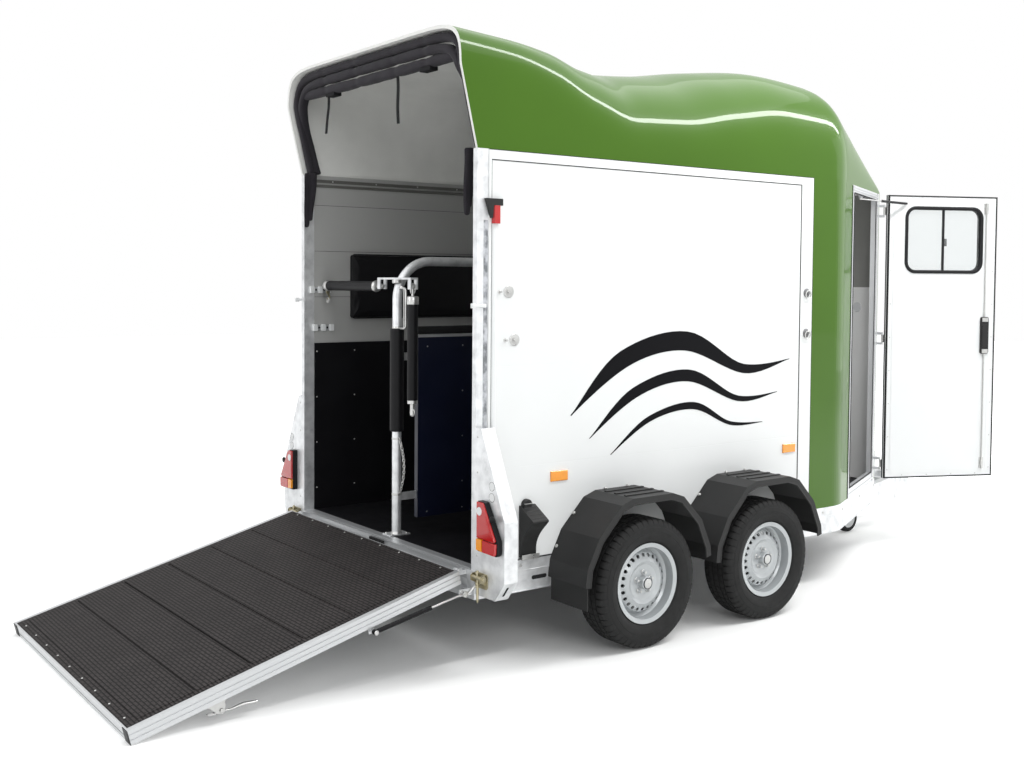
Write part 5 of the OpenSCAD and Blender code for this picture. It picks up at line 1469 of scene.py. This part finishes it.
arm = Shape()
arm.tube([(-0.06, 0.8705, 0.35), (-0.048, 0.8705, 0.353), (-0.034, 0.8705, 0.362), (-0.02, 0.8705, 0.374),
          (-0.006, 0.87, 0.382)], 0.01, 10, flat=0.24)
arm.turned((-0.06, 0.8682, 0.35), LEFT, [(0, 0.0145), (0.0046, 0.0145)], 28)
arm.bolt((-0.06, 0.8728, 0.35), LEFT, 0.0075, 0.005)
arm.mirrored().piece("strut_feet", zinc, bevel=0.0006)
STRUT_AT = 0.514
knob = Shape(on_ramp)
knob.turned((-STRUT_AT, 0.8665, -0.054), LEFT, [(0, 0.01), (0.003, 0.0112), (0.006, 0.0104), (0.008, 0.007)],
            24)
knob.mirrored().piece("strut_studs", zinc, "ramp")
print("hinges made")

# %% [markdown]
# Ramp details
#
# Black plugs close the ends of the ramp's rails. Under each rail hangs an over-centre latch with
# a flattened lever, which pulls the closed ramp tight. A thin apron of the mat laps over the frame all
# round, and screws hold it.

# %% Ramp ends, latches and screws
plugs = Shape(on_ramp)
outline = [(0.7815, -0.035), (0.8385, -0.035), (0.8392, -0.034), (0.8392, -0.018), (0.837, -0.017),
           (0.837, -0.013),
           (0.8392, -0.012), (0.8392, 0.004), (0.837, 0.005), (0.837, 0.009), (0.8392, 0.01), (0.8392, 0.022),
           (0.838, 0.0232), (0.7815, 0.0232)]
plugs.plate(outline, (-1.5995, 0, 0), LEFT, UP, -0.003)
plugs.plate([(0.79, -0.026), (0.829, -0.026), (0.829, 0.014), (0.79, 0.014)], (-1.602, 0, 0), LEFT, UP,
            -0.0012)
plugs.mirrored().piece("ramp_end_plugs", black_plastic, "ramp", bevel=0.0008)

LATCH_X, LATCH_Y, LATCH_Z = -1.232, 0.822, -0.074
latch = Shape(on_ramp)
latch.plate([(LATCH_X - 0.058, -0.04), (LATCH_X + 0.027, -0.04), (LATCH_X + 0.027, -0.0358),
             (LATCH_X - 0.058, -0.0358)],
            (0, LATCH_Y - 0.016, 0), AHEAD, UP, -0.032)
for y in (-0.013, 0.009):
    latch.plate([(LATCH_X - 0.05, -0.038), (LATCH_X - 0.02, -0.08)] +
                [(LATCH_X + 0.014 * math.cos(a), LATCH_Z + 0.014 * math.sin(a)) for a in
                 (math.radians(215 + 22 * i) for i in range(7))] + [(LATCH_X + 0.02, -0.06),
                                                                    (LATCH_X + 0.022, -0.038)],
                (0, LATCH_Y + y, 0), AHEAD, UP, -0.004)
latch.rod((LATCH_X, LATCH_Y - 0.017, LATCH_Z), (LATCH_X, LATCH_Y + 0.017, LATCH_Z), 0.0058)
latch.turned((LATCH_X, LATCH_Y + 0.016, LATCH_Z), LEFT, [(0, 0.009), (0.004, 0.009), (0.005, 0.007)], 20)
sweep = [(0, 0), (0.018, -0.011), (0.04, -0.017), (0.066, -0.018), (0.092, -0.02), (0.118, -0.027),
         (0.14, -0.034),
         (0.154, -0.036)]
latch.tube([(LATCH_X + a, LATCH_Y, LATCH_Z + b) for a, b in sweep],
           [0.008, 0.0075, 0.007, 0.008, 0.01, 0.0105, 0.01, 0.007], 14, flat=0.55)
latch.tube([(LATCH_X + 0.006, LATCH_Y - 0.006, LATCH_Z + 0.006),
            (LATCH_X - 0.03, LATCH_Y - 0.007, LATCH_Z - 0.004),
            (LATCH_X - 0.056, LATCH_Y - 0.006, LATCH_Z + 0.004), (LATCH_X - 0.06, LATCH_Y, LATCH_Z + 0.006),
            (LATCH_X - 0.056, LATCH_Y + 0.006, LATCH_Z + 0.004),
            (LATCH_X - 0.03, LATCH_Y + 0.007, LATCH_Z - 0.004),
            (LATCH_X + 0.006, LATCH_Y + 0.006, LATCH_Z + 0.006)], 0.0028, 8)
latch.mirrored().piece("ramp_latches", zinc, "ramp", ["ramp_fittings"], bevel=0.0006)

apron = Shape(on_ramp)
for x0, x1, y0, y1 in ((-1.592, -1.5, -0.812, 0.812), (-0.13, -0.038, -0.812, 0.812),
                       (-1.5, -0.13, 0.77, 0.812),
                       (-1.5, -0.13, -0.812, -0.77)):
    apron.block(x0, x1, y0, y1, 0.0236, 0.025)
apron.piece("mat_apron", mat_rubber, "ramp")
screws = Shape(on_ramp)
for i in range(9):
    screws.dome((-0.052, 0.72 - 0.18 * i, 0.0249), UP, 0.0055, 0.0022, 12)
    screws.dome((-1.57, 0.72 - 0.18 * i, 0.0249), UP, 0.0055, 0.0022, 12)
screws.piece("ramp_screws", zinc, "ramp")
print("ramp dressed")

# %% [markdown]
# Wheel chocks
#
# A chock hangs beside each lamp plate. Its working face is hollow, to fit a tyre, and its back
# slopes down from the panel, so its outline is drawn as seen from the rear and given its width.

# %% Chocks and holders
CHOCK_X, CHOCK_W = 0.249, 0.095
hollow = [(0.014, 0.475), (0.014, 0.51), (0.0152, 0.524), (0.019, 0.54), (0.026, 0.556), (0.036, 0.573),
          (0.048, 0.589), (0.062, 0.605), (0.077, 0.62), (0.092, 0.6345), (0.106, 0.649)]
chock = Shape()
chock.plate([(0, 0.475)] + hollow + [(0.1085, 0.653), (0.106, 0.659), (0.004, 0.718), (0, 0.718)],
            (CHOCK_X, SIDE, 0), LEFT, UP, CHOCK_W)
for k in range(4):
    a, b = Vector((0, 0.02 + 0.022 * k, 0.7095 - 0.0127 * k)), Vector((0, 0.027 + 0.022 * k,
        0.7055 - 0.0127 * k))
    chock.grid([[(x, SIDE + p.y, p.z + up) for x in (CHOCK_X + 0.012, CHOCK_X + CHOCK_W - 0.012)]
                for p, up in ((a, -0.001), (a, 0.0012), (b, 0.0012), (b, -0.001))], closed=False)
chock.turned((CHOCK_X + 0.038, SIDE, 0.721), LEFT, [(0, 0.026), (0.02, 0.026), (0.0235, 0.0225),
                                                    (0.0235, 0.014),
                                                         (0.019, 0.0125), (0.019, 0.004)], 32)
chock.mirrored().piece("chock_pair", guard_plastic, stands_for=["wheel_chocks"], bevel=0.0035)
holder = Shape()
holder.plate([(0, 0.466), (0.034, 0.466), (0.034, 0.49), (0.0322, 0.49), (0.0322, 0.468), (0, 0.468)],
             (CHOCK_X - 0.004, SIDE, 0), LEFT, UP, CHOCK_W + 0.008)
holder.tube([(CHOCK_X + 0.016, SIDE + 0.001, 0.727), (CHOCK_X + 0.016, SIDE + 0.027, 0.727),
             (CHOCK_X + 0.06, SIDE + 0.027, 0.727),
             (CHOCK_X + 0.06, SIDE + 0.001, 0.727)], 0.0022, 8)
holder.mirrored().piece("chock_holders", zinc, bevel=0.0005)
print("chocks made")
# %% [markdown]
# Inside the walls
#
# Rivets in rows hold the black kick panels and the navy partition. A bright edge profile closes
# the partition's top, with a black rubber strip above it. Near the roof an aluminium channel runs
# along each wall, painted dark grey: painted shade under the roof's edge. The joints of the planks
# show as thin lines.

# %% Rivets, edges and channels
rivets = Shape()
for z in (1.356, 1.094, 0.832, 0.57):
    for i in range(9):
        x = 0.078 + 0.262 * i if i == 0 else 0.063 + 0.262 * i
        for s in (1, -1):
            rivets.dome((x, 0.8222 * s, z), (0, -s, 0), 0.005, 0.0024, 10)
rivets.piece("kick_rivets", zinc)

rivets = Shape()
for z in (1.42, 1.176, 0.932, 0.688, 0.545):
    for i in range(8):
        if z in (1.42, 0.545) or i % 2:
            for s in (1, -1):
                rivets.dome((0.289 + 0.226 * i, 0.0148 * s, z), (0, s, 0), 0.0046, 0.0022, 10)
rivets.piece("panel_rivets", zinc)

edge = Shape()
edge.plate([(0.0162, 1.468), (0.0162, 1.4815), (0.012, 1.4835), (-0.012, 1.4835), (-0.0162, 1.4815),
            (-0.0162, 1.468),
            (-0.0152, 1.468), (-0.0152, 1.4802), (0.0152, 1.4802), (0.0152, 1.468)],
           (0.2305, 0, 0), LEFT, UP, 1.699)
edge.piece("panel_edge", aluminium, angle=20)
flap = Shape()
flap.grid([[(x, 0.0105 * math.cos(a) * (1.0 if math.sin(a) > 0 else 1.0),
             1.5045 + 0.0215 * math.sin(a)) for a in
            around(16)] for x in [0.234 + 0.0565 * i for i in range(31)]], closed=True, caps=True)
flap.piece("panel_top_rubber", seal, angle=50)

# The aluminium channel is painted dark grey: painted shade under the roof's edge.
channel_shade_grey = Finish("channel_in_painted_shade", (0.12, 0.12, 0.11), 0.45)
channel_shade_grey.shade(channel_shade_grey.noise(6, 3), 0.9, 1.1)
channel, lines = Shape(), Shape()
for z0, z1, depth in ((2.296, 2.312, 0.0045), (2.322, 2.34, 0.006)):
    channel.plate([(0, z0), (-depth, z0), (-depth, z0 + 0.003), (-depth + 0.0015, z0 + 0.004),
                   (-depth + 0.0015, z1 - 0.004),
                   (-depth, z1 - 0.003), (-depth, z1), (0, z1)], (0.064, 0.8281, 0), LEFT, UP,
                   PANEL_END - 0.066)
for z in (2.193, 1.931, 1.669):
    lines.block(0.064, PANEL_END - 0.002, 0.8274, 0.8283, z - 0.0009, z + 0.0009)
channel.mirrored().piece("wall_channels", channel_shade_grey, angle=20)
lines.mirrored().piece("plank_joints", seal)
rivets = Shape()
for i in range(8):
    rivets.dome((0.18 + 0.29 * i, 0.8225, 2.331), RIGHT, 0.0048, 0.0022, 10)
rivets.mirrored().piece("channel_rivets", zinc)
print("inside walls dressed")

# %% [markdown]
# Wall fittings
#
# The rear washers outside carry no ring: each is a dished disc with a bolt, and a smaller bolt
# beside it. The front ones are dark bases with a bright ring. Inside, white brackets with three
# lugs take the hooks of the rear bars, and a white peg on each post takes the ramp's latch.

# %% Tie points, brackets and pegs
discs, bases, loops = Shape(), Shape(), Shape()
for x, z in ((0.18, 1.716), (0.215, 1.494)):
    discs.turned((x, 0.86, z), LEFT, [(0, 0.028), (0.0028, 0.0285), (0.0046, 0.0262), (0.0042, 0.018),
                                      (0.003, 0.012),
                                             (0.003, 0.006)], 40)
    discs.turned((x, 0.8625, z), LEFT, [(0, 0.0088), (0.0075, 0.0088), (0.0085, 0.0078)], 6)
    discs.turned((x - 0.054, 0.86, z - 0.001), LEFT, [(0, 0.0095), (0.002, 0.0095), (0.003, 0.0075)], 24)
    discs.turned((x - 0.054, 0.862, z - 0.001), LEFT, [(0, 0.0055), (0.015, 0.0055), (0.017, 0.004)], 16)
discs.mirrored().piece("tie_discs", zinc, stands_for=["wall_fittings"])
for x, z in ((2.295, 1.709), (2.295, 1.481)):
    bases.turned((x, 0.8638, z), LEFT, [(0, 0.025), (0.0035, 0.025), (0.008, 0.02), (0.01, 0.012),
                                        (0.018, 0.009),
                                             (0.0195, 0.006)], 32)
    loops.tube([(x + 0.022 * math.cos(a), 0.8785 + 0.0015 * math.sin(a),
                 z - 0.01 + 0.022 * math.sin(a)) for a in
                around(32)], 0.0032, 10, closed=True)
bases.mirrored().piece("tie_bases", cast_iron)
loops.mirrored().piece("tie_rings", zinc)

lugs, plates, holes = Shape(), Shape(), Shape()
for x, z in ((0.034, 1.7095), (0.054, 1.492)):
    plates.block(x + 0.004, x + 0.128, 0.8245, 0.8284, z - 0.017, z + 0.017)
    for k in range(3):
        a = x + 0.0525 * k
        lugs.grid([[(a + u, y, z + w) for u, w in rounded(e, e - 0.0195, 0.026 - 2 * e, 0.039 - 2 * e, 0.004,
                                                          3)]
                   for y, e in ((0.8284, 0), (0.815, 0), (0.813, 0.002))], closed=True, caps=True)
    # Dark discs stand for the holes in the plates: painted shade inside them.
    for k in range(2):
        holes.turned((x + 0.0395 + 0.0525 * k, 0.8243, z), RIGHT, [(0, 0.0062), (0.0004, 0.0062)], 20)
lugs.mirrored().piece("bracket_lugs", leaf_white, bevel=0.0008)
plates.mirrored().piece("bracket_plates", aluminium, bevel=0.0006)
holes.mirrored().piece("bracket_holes_painted_shade", seal)

peg = Shape()
peg.grid([[(x, 0.8675 + y, 1.6525 + z) for y, z in rounded(-w, -h, 2 * w, 2 * h, 0.003, 3)] for x, w, h in
          ((-0.036, 0.005, 0.009), (-0.0345, 0.0068, 0.011), (-0.016, 0.0068, 0.011), (-0.014, 0.005, 0.007),
           (0.01, 0.005, 0.007), (0.04, 0.0065, 0.0095), (0.045, 0.005, 0.008))], closed=True, caps=True)
peg.mirrored().piece("latch_pegs", leaf_white, angle=30)
print("fittings made")

# %% [markdown]
# Partition hardware
#
# The posts stand on bolted feet. Beside the rear post a narrow bracket of bright strip carries
# the bar latch, and the hanging bar has a shackle in its cap. The left bar ends in a cap with a
# yellow hook and a ring. A short chain hangs lower on the post. It is part of the frame, not a
# loose cord: both of its ends are fixed.

# %% Feet, latch bracket and shackle
feet = Shape()
for x in (0.11, 2.05):
    for dx in (-0.044, 0.044):
        for dy in (-0.028, 0.028):
            feet.bolt((x + dx, dy, 0.45), UP, 0.0065, 0.005)
    feet.turned((x, 0, 0.45), UP, [(0, 0.03), (0.004, 0.027), (0.01, 0.025), (0.011, 0.024)], 32, caps=False)
feet.piece("post_feet", zinc)

latch = Shape()
latch.tube([(0.11, -0.0235, 1.726), (0.11, -0.07, 1.726), (0.11, -0.08, 1.722), (0.11, -0.084, 1.712),
            (0.11, -0.084, 1.532), (0.11, -0.08, 1.522), (0.11, -0.07, 1.518), (0.11, -0.0235, 1.518)],
            0.0058, 12)
latch.block(0.1065, 0.1135, -0.07, -0.064, 1.522, 1.722)
latch.turned((0.11, -0.046, 1.724), UP, [(0, 0.01), (0.003, 0.011), (0.011, 0.011), (0.014, 0.009)], 20)
latch.turned((0.11, 0, 1.75), UP, [(0, 0.0242), (0.003, 0.0268), (0.02, 0.0268), (0.023, 0.0242)], 32,
             caps=False)
latch.turned((0.11, 0, 1.51), UP, [(0, 0.0242), (0.003, 0.0262), (0.016, 0.0262), (0.019, 0.0242)], 32,
             caps=False)
latch.piece("post_latch_bracket", zinc, bevel=0.0006)

shackle = Shape(upright)
shackle.tube([(0.0, 0.04, 0.0), (0.01, 0.032, 0.0), (0.014, 0.018, 0.0), (0.014, -0.002, 0.0),
              (0.01, -0.012, 0.0),
              (0.0, -0.016, 0.0), (-0.01, -0.012, 0.0), (-0.014, -0.002, 0.0), (-0.014, 0.018, 0.0),
              (-0.01, 0.032, 0.0)],
             0.003, 10, closed=True)
shackle.turned((0, 0.048, 0), LEFT, [(0, 0.022), (0.003, 0.029), (0.006, 0.0308), (0.04, 0.0308),
                                     (0.042, 0.0296)], 32)
shackle.turned((0, 0.064, 0.03), UP, [(0, 0.008), (0.006, 0.008), (0.007, 0.0065)], 6)
shackle.piece("bar_shackle", zinc, "bar_right")

chain = Shape()
for i in range(20):
    t = i / 19
    centre = Vector((0.11, -0.0265 - 0.046 * math.sin(math.pi * t) ** 0.8, 0.942 - 0.284 * t))
    ahead_t = min(1.0, t + 0.01)
    down = (Vector((0.11, -0.0265 - 0.046 * math.sin(math.pi * ahead_t) ** 0.8,
                    0.942 - 0.284 * ahead_t)) - centre
            if t < 1 else Vector((0, 0.6, -1))).normalized()
    wide = Vector(AHEAD) if i % 2 else down.cross(Vector(AHEAD)).normalized()
    chain.tube([centre + down * (0.0112 * math.cos(a)) + wide * (0.0062 * math.sin(a)) for a in
                around(14)], 0.0019, 7, closed=True)
for z in (0.945, 0.655):
    chain.turned((0.11, 0, z - 0.006), UP, [(0, 0.0242), (0.001, 0.0258), (0.011, 0.0258), (0.012, 0.0242)],
                 32, caps=False)
chain.piece("post_chain", zinc)

hook = Shape(across)
hook.plate([(-0.012, 0.012), (0.012, 0.012), (0.012, -0.036), (0.008, -0.05), (0.016, -0.064),
            (0.012, -0.078), (0.002, -0.082),
            (-0.008, -0.076), (-0.004, -0.07), (0.004, -0.071), (0.006, -0.064), (-0.004, -0.052),
            (-0.012, -0.04)],
           (0, BAR_L - 0.058, 0), AHEAD, UP, -0.0045)
hook.piece("bar_hook", yellow_zinc, "bar_left", bevel=0.0008)
ring = Shape(across)
ring.tube([(0.0, BAR_L - 0.056 + 0.011 * math.cos(a), -0.08 + 0.013 * math.sin(a)) for a in
           around(28)], 0.002, 8, closed=True)
ring.tube([(0.006 * math.cos(a), BAR_L - 0.056, -0.093 + 0.008 * math.sin(a)) for a in
           around(24)], 0.0018, 8, closed=True)
ring.turned((0, 0.052, 0), LEFT, [(0, 0.024), (0.003, 0.03), (0.01, 0.0312), (0.012, 0.03)], 32)
ring.turned((0, BAR_L - 0.078, 0), LEFT, [(0, 0.03), (0.002, 0.0312), (0.026, 0.0312), (0.032, 0.026),
                                          (0.038, 0.014)], 32)
ring.piece("bar_left_caps", zinc, "bar_left")
print("partition hardware made")

# %% [markdown]
# The nose from inside
#
# Through the doorway the front wall shows a pale board in its lower part, the nose's lining in
# painted shade, dark grey, above it, and a round vent. The board follows the wall and stands a few
# millimetres off it.

# %% Nose board and vent
board = Shape()
board.grid([[(3.6165, 0.375 * (1 - 2 * i / 24), z) for i in range(25)] for z in (0.446, 1.738)])
board.grid([[(3.6125, 0.375 * (1 - 2 * i / 24), z) for i in range(25)] for z in (1.74, 0.446)])
board.grid([[(x, 0.375 * (1 - 2 * i / 24), z) for i in range(25)] for x,
            z in ((3.6165, 1.738), (3.6125, 1.74))])
board_white = Finish("board_white", (0.86, 0.86, 0.85), 0.5)
board_white.shade(board_white.noise(3, 2), 0.97, 1.0)
board.piece("nose_board", board_white, merge=False)
vent = Shape()
vent.turned((3.6125, -0.246, 1.606), AFT, [(0, 0.033), (0.003, 0.033), (0.0055, 0.03), (0.005, 0.025),
                                            (0.004, 0.024),
                                                  (0.005, 0.018), (0.004, 0.012), (0.0048, 0.006)], 40)
vent.piece("nose_vent", clear_lens)
print("nose inside made")
# %% [markdown]
# Drawbar and coupling
#
# The overrun device is a casting with a rubber bellows on its shaft and a hand brake beside it.
# The bellows is one turned skin with sharp folds, and the brake lever is a flat bar that bends
# into a black grip.

# %% Overrun device
HEAD_X, SHAFT_Z = 4.4, 0.44
casting = Shape()
casting.grid([[(x, y, z) for y, z in rounded(-w, 0.384, 2 * w, h, 0.014, 4)] for x, w, h in
              ((4.341, 0.054, 0.07), (4.346, 0.06, 0.088), (4.43, 0.06, 0.092), (4.452, 0.056, 0.09),
               (4.46, 0.048, 0.086))],
             closed=True, caps=True)
casting.turned((4.34, 0, SHAFT_Z), AHEAD, [(0, 0.038), (0.004, 0.044), (0.118, 0.044), (0.124, 0.04),
                                           (0.146, 0.04),
                                                (0.15, 0.043), (0.1515, 0.04)], 40)
for x in (4.362, 4.438):
    for y in (-0.046, 0.046):
        casting.bolt((x, y, 0.4745), UP, 0.008, 0.006)
casting.turned((HEAD_X, -0.06, SHAFT_Z), RIGHT, [(-0.002, 0.022), (0.01, 0.02), (0.026, 0.02),
                                                 (0.028, 0.018)], 28)
casting.piece("overrun_casting", cast_iron, stands_for=["overrun_device"], bevel=0.0015)

bellows = Shape()
folds = [(0, 0.0405), (0.002, 0.0425)]
for i in range(7):
    at = 0.005 + 0.0128 * i
    folds += [(at, 0.03), (at + 0.005, 0.0385), (at + 0.0068, 0.0395), (at + 0.0086, 0.0385)]
folds += [(0.094, 0.03), (0.1, 0.029), (0.11, 0.0285), (0.1105, 0.0255)]
bellows.turned((4.4895, 0, SHAFT_Z), AHEAD, folds, 48)
bellows.piece("shaft_bellows", tyre_rubber, angle=40)
shaft = Shape()
shaft.rod((4.585, 0, SHAFT_Z), (4.66, 0, SHAFT_Z), 0.025, 32, 0.05)
shaft.piece("coupling_shaft", zinc)

lever = Shape()
lean = Vector((0.11, 0, 0.33)).normalized()
lever.tube([(HEAD_X, -0.078, SHAFT_Z)] + [Vector((HEAD_X, -0.078, SHAFT_Z)) + lean * d for d in (0.03, 0.08,
    0.14, 0.2, 0.206)],
           [0.015, 0.014, 0.011, 0.009, 0.0085, 0.008], 12, flat=0.6)
lever.turned((HEAD_X, -0.07, SHAFT_Z), RIGHT, [(0, 0.02), (0.014, 0.02), (0.016, 0.018)], 28)
lever.bolt((HEAD_X, -0.0855, SHAFT_Z), RIGHT, 0.0085, 0.0055)
lever.piece("brake_lever", zinc, bevel=0.0005)
grip = Shape()
start = Vector((HEAD_X, -0.078, SHAFT_Z)) + lean * 0.2035
profile = [(0, 0.01), (0.002, 0.014)]
for i in range(9):
    profile += [(0.01 + 0.013 * i, 0.014), (0.0125 + 0.013 * i, 0.0128), (0.015 + 0.013 * i, 0.014)]
profile += [(0.136, 0.014), (0.1425, 0.0115), (0.1445, 0.006)]
grip.turned(start, lean, profile, 28)
grip.turned(start + lean * 0.1435, lean, [(0, 0.006), (0.006, 0.006), (0.008, 0.004)], 16)
grip.piece("brake_grip", black_plastic)
print("overrun device made")

# %% [markdown]
# Coupling head and jockey mount
#
# The coupling's casting keeps its solid. It gains a rubber-coated handle, a locking pin and its
# shaft bolts. The jockey tube gets its clamp handle, the crank a plastic sleeve, and the drawbar
# its bolts.

# %% Coupling, clamp and crank
handle = Shape()
p, q = Vector((4.645, 0, 0.502)), Vector((4.74, 0, 0.478))
d = (q - p).normalized()
handle.turned(p - d * 0.004, d, [(0, 0.006), (0.002, 0.0118), (0.006, 0.0132), (0.03, 0.0128), (0.06, 0.0132),
                                 (0.084, 0.0128),
                                 (0.092, 0.01), (0.094, 0.006)], 28)
handle.piece("coupling_handle", tyre_rubber)
pins = Shape()
for x in (4.664, 4.7):
    for s in (1, -1):
        pins.bolt((x, s * 0.0325, 0.44), (0, s, 0), 0.0075, 0.0055)
pins.turned((4.722, 0, 0.5), UP, [(-0.012, 0.005), (0.01, 0.005), (0.012, 0.0035)], 16)
for s in (1, -1):
    for x in (2.24, 2.3):
        pins.bolt((x, s * 0.716, 0.294), DOWN, 0.0085, 0.006)
    pins.bolt((4.1505, s * 0.028, 0.415), AHEAD, 0.007, 0.005)
    pins.bolt((4.1505, s * 0.028, 0.5), AHEAD, 0.007, 0.005)
pins.piece("front_bolts", zinc)

clamp = Shape()
clamp.turned((3.915, 0, 0.49), UP, [(0, 0.0402), (0.003, 0.0425), (0.066, 0.0425), (0.07, 0.0402)], 40,
             caps=False)
clamp.rod((3.915, -0.03, 0.527), (3.915, -0.066, 0.527), 0.007)
clamp.tube([(3.915, -0.06, 0.527), (3.9, -0.064, 0.514), (3.872, -0.066, 0.49), (3.846, -0.066, 0.47)],
           [0.007, 0.0065, 0.006, 0.0075], 12)
clamp.turned((3.915, 0, 0.925), UP, [(0, 0.0302), (0.002, 0.0335), (0.016, 0.0335), (0.019, 0.018)], 36)
clamp.piece("jockey_clamp", zinc)
crank = Shape()
crank.turned((3.795, 0, 0.966), UP, [(0, 0.0095), (0.003, 0.0125), (0.05, 0.0135), (0.096, 0.0125),
                                     (0.103, 0.0105),
                                            (0.105, 0.005)], 28)
crank.piece("crank_sleeve", black_plastic)

bracket = Shape()
bracket.plate([(4.288, 0.29), (4.33, 0.29), (4.326, 0.214), (4.32, 0.206), (4.3, 0.206), (4.294, 0.214)],
              (0, -0.094, 0),
              AHEAD, UP, -0.004)
bracket.plate([(4.288, 0.2945), (4.33, 0.2945), (4.33, 0.29), (4.288, 0.29)], (0, -0.094, 0), AHEAD, UP,
              -0.03)
bracket.plate([(-0.094, 0.29), (-0.064, 0.29), (-0.068, 0.222), (-0.09, 0.214)], (4.3285, 0, 0), LEFT, UP,
              0.0035)
bracket.piece("plug_bracket", galvanised, bevel=0.0006)
hatch = Shape()
for a, b, z0, z1 in ((0, 0.052, 0.433, 0.4345), (0, 0.052, 0.3795, 0.381), (0, 0.0015, 0.3795, 0.4345),
                     (0.0505, 0.052, 0.3795, 0.4345)):
    hatch.block(3.65, 3.6522, -0.33 + a, -0.33 + b, z0, z1)
hatch.piece("rail_label_frame", seal)
print("front made")

# %% [markdown]
# The floor
#
# A plain pale sheet that runs far behind the trailer. It glows more the farther it is from the
# trailer, but only to the eye, through glass and in reflections, so it fades into the white hall
# and throws no light on matt faces. It isn't part of the object.

# %% Floor
ground = bpy.data.meshes.new("ground")
HALF_HALL, GROUND_Z = 30, REAR.z - 0.001
corners = ((-1, -1), (1, -1), (1, 1), (-1, 1))
ground.from_pydata([(a * HALF_HALL, b * HALF_HALL, GROUND_Z) for a, b in corners], [], [(0, 1, 2, 3)])
floor = bpy.data.objects.new("floor", ground)
floor.location = (REAR.x + 1.2, -0.4, 0)
scene.collection.objects.link(floor)
hall_floor = Finish("hall_floor", (0.9, 0.9, 0.89), 0.75, Emission_Color=(1, 1, 1, 1), Emission_Strength=0.3)
hall_floor.shade(hall_floor.noise(0.8, 3), 0.985, 1.0)
reach = hall_floor.node("ShaderNodeVectorMath", i0=hall_floor.coords)
reach.operation = "LENGTH"
glow = hall_floor.node("ShaderNodeMapRange", Value=reach.outputs["Value"])
GLOW_NEAR, GLOW_FAR = 1.6, 7.0
for socket, value in (("From Min", GLOW_NEAR), ("From Max", GLOW_FAR), ("To Min", 0.02), ("To Max", 1.0)):
    glow.inputs[socket].default_value = value
seen = looked_at(hall_floor.tree, hall_floor.node("ShaderNodeLightPath"))
seen_only = hall_floor.node("ShaderNodeMath", i0=glow.outputs[0], i1=seen)
seen_only.operation = "MULTIPLY"
hall_floor.tree.links.new(seen_only.outputs[0], hall_floor.shader.inputs["Emission Strength"])
floor.data.materials.append(hall_floor.material)
print("floor laid")

# %% [markdown]
# Pieces made
#
# The last line prints how many pieces were made.

# %% Finish
print("pieces made:", len(made))
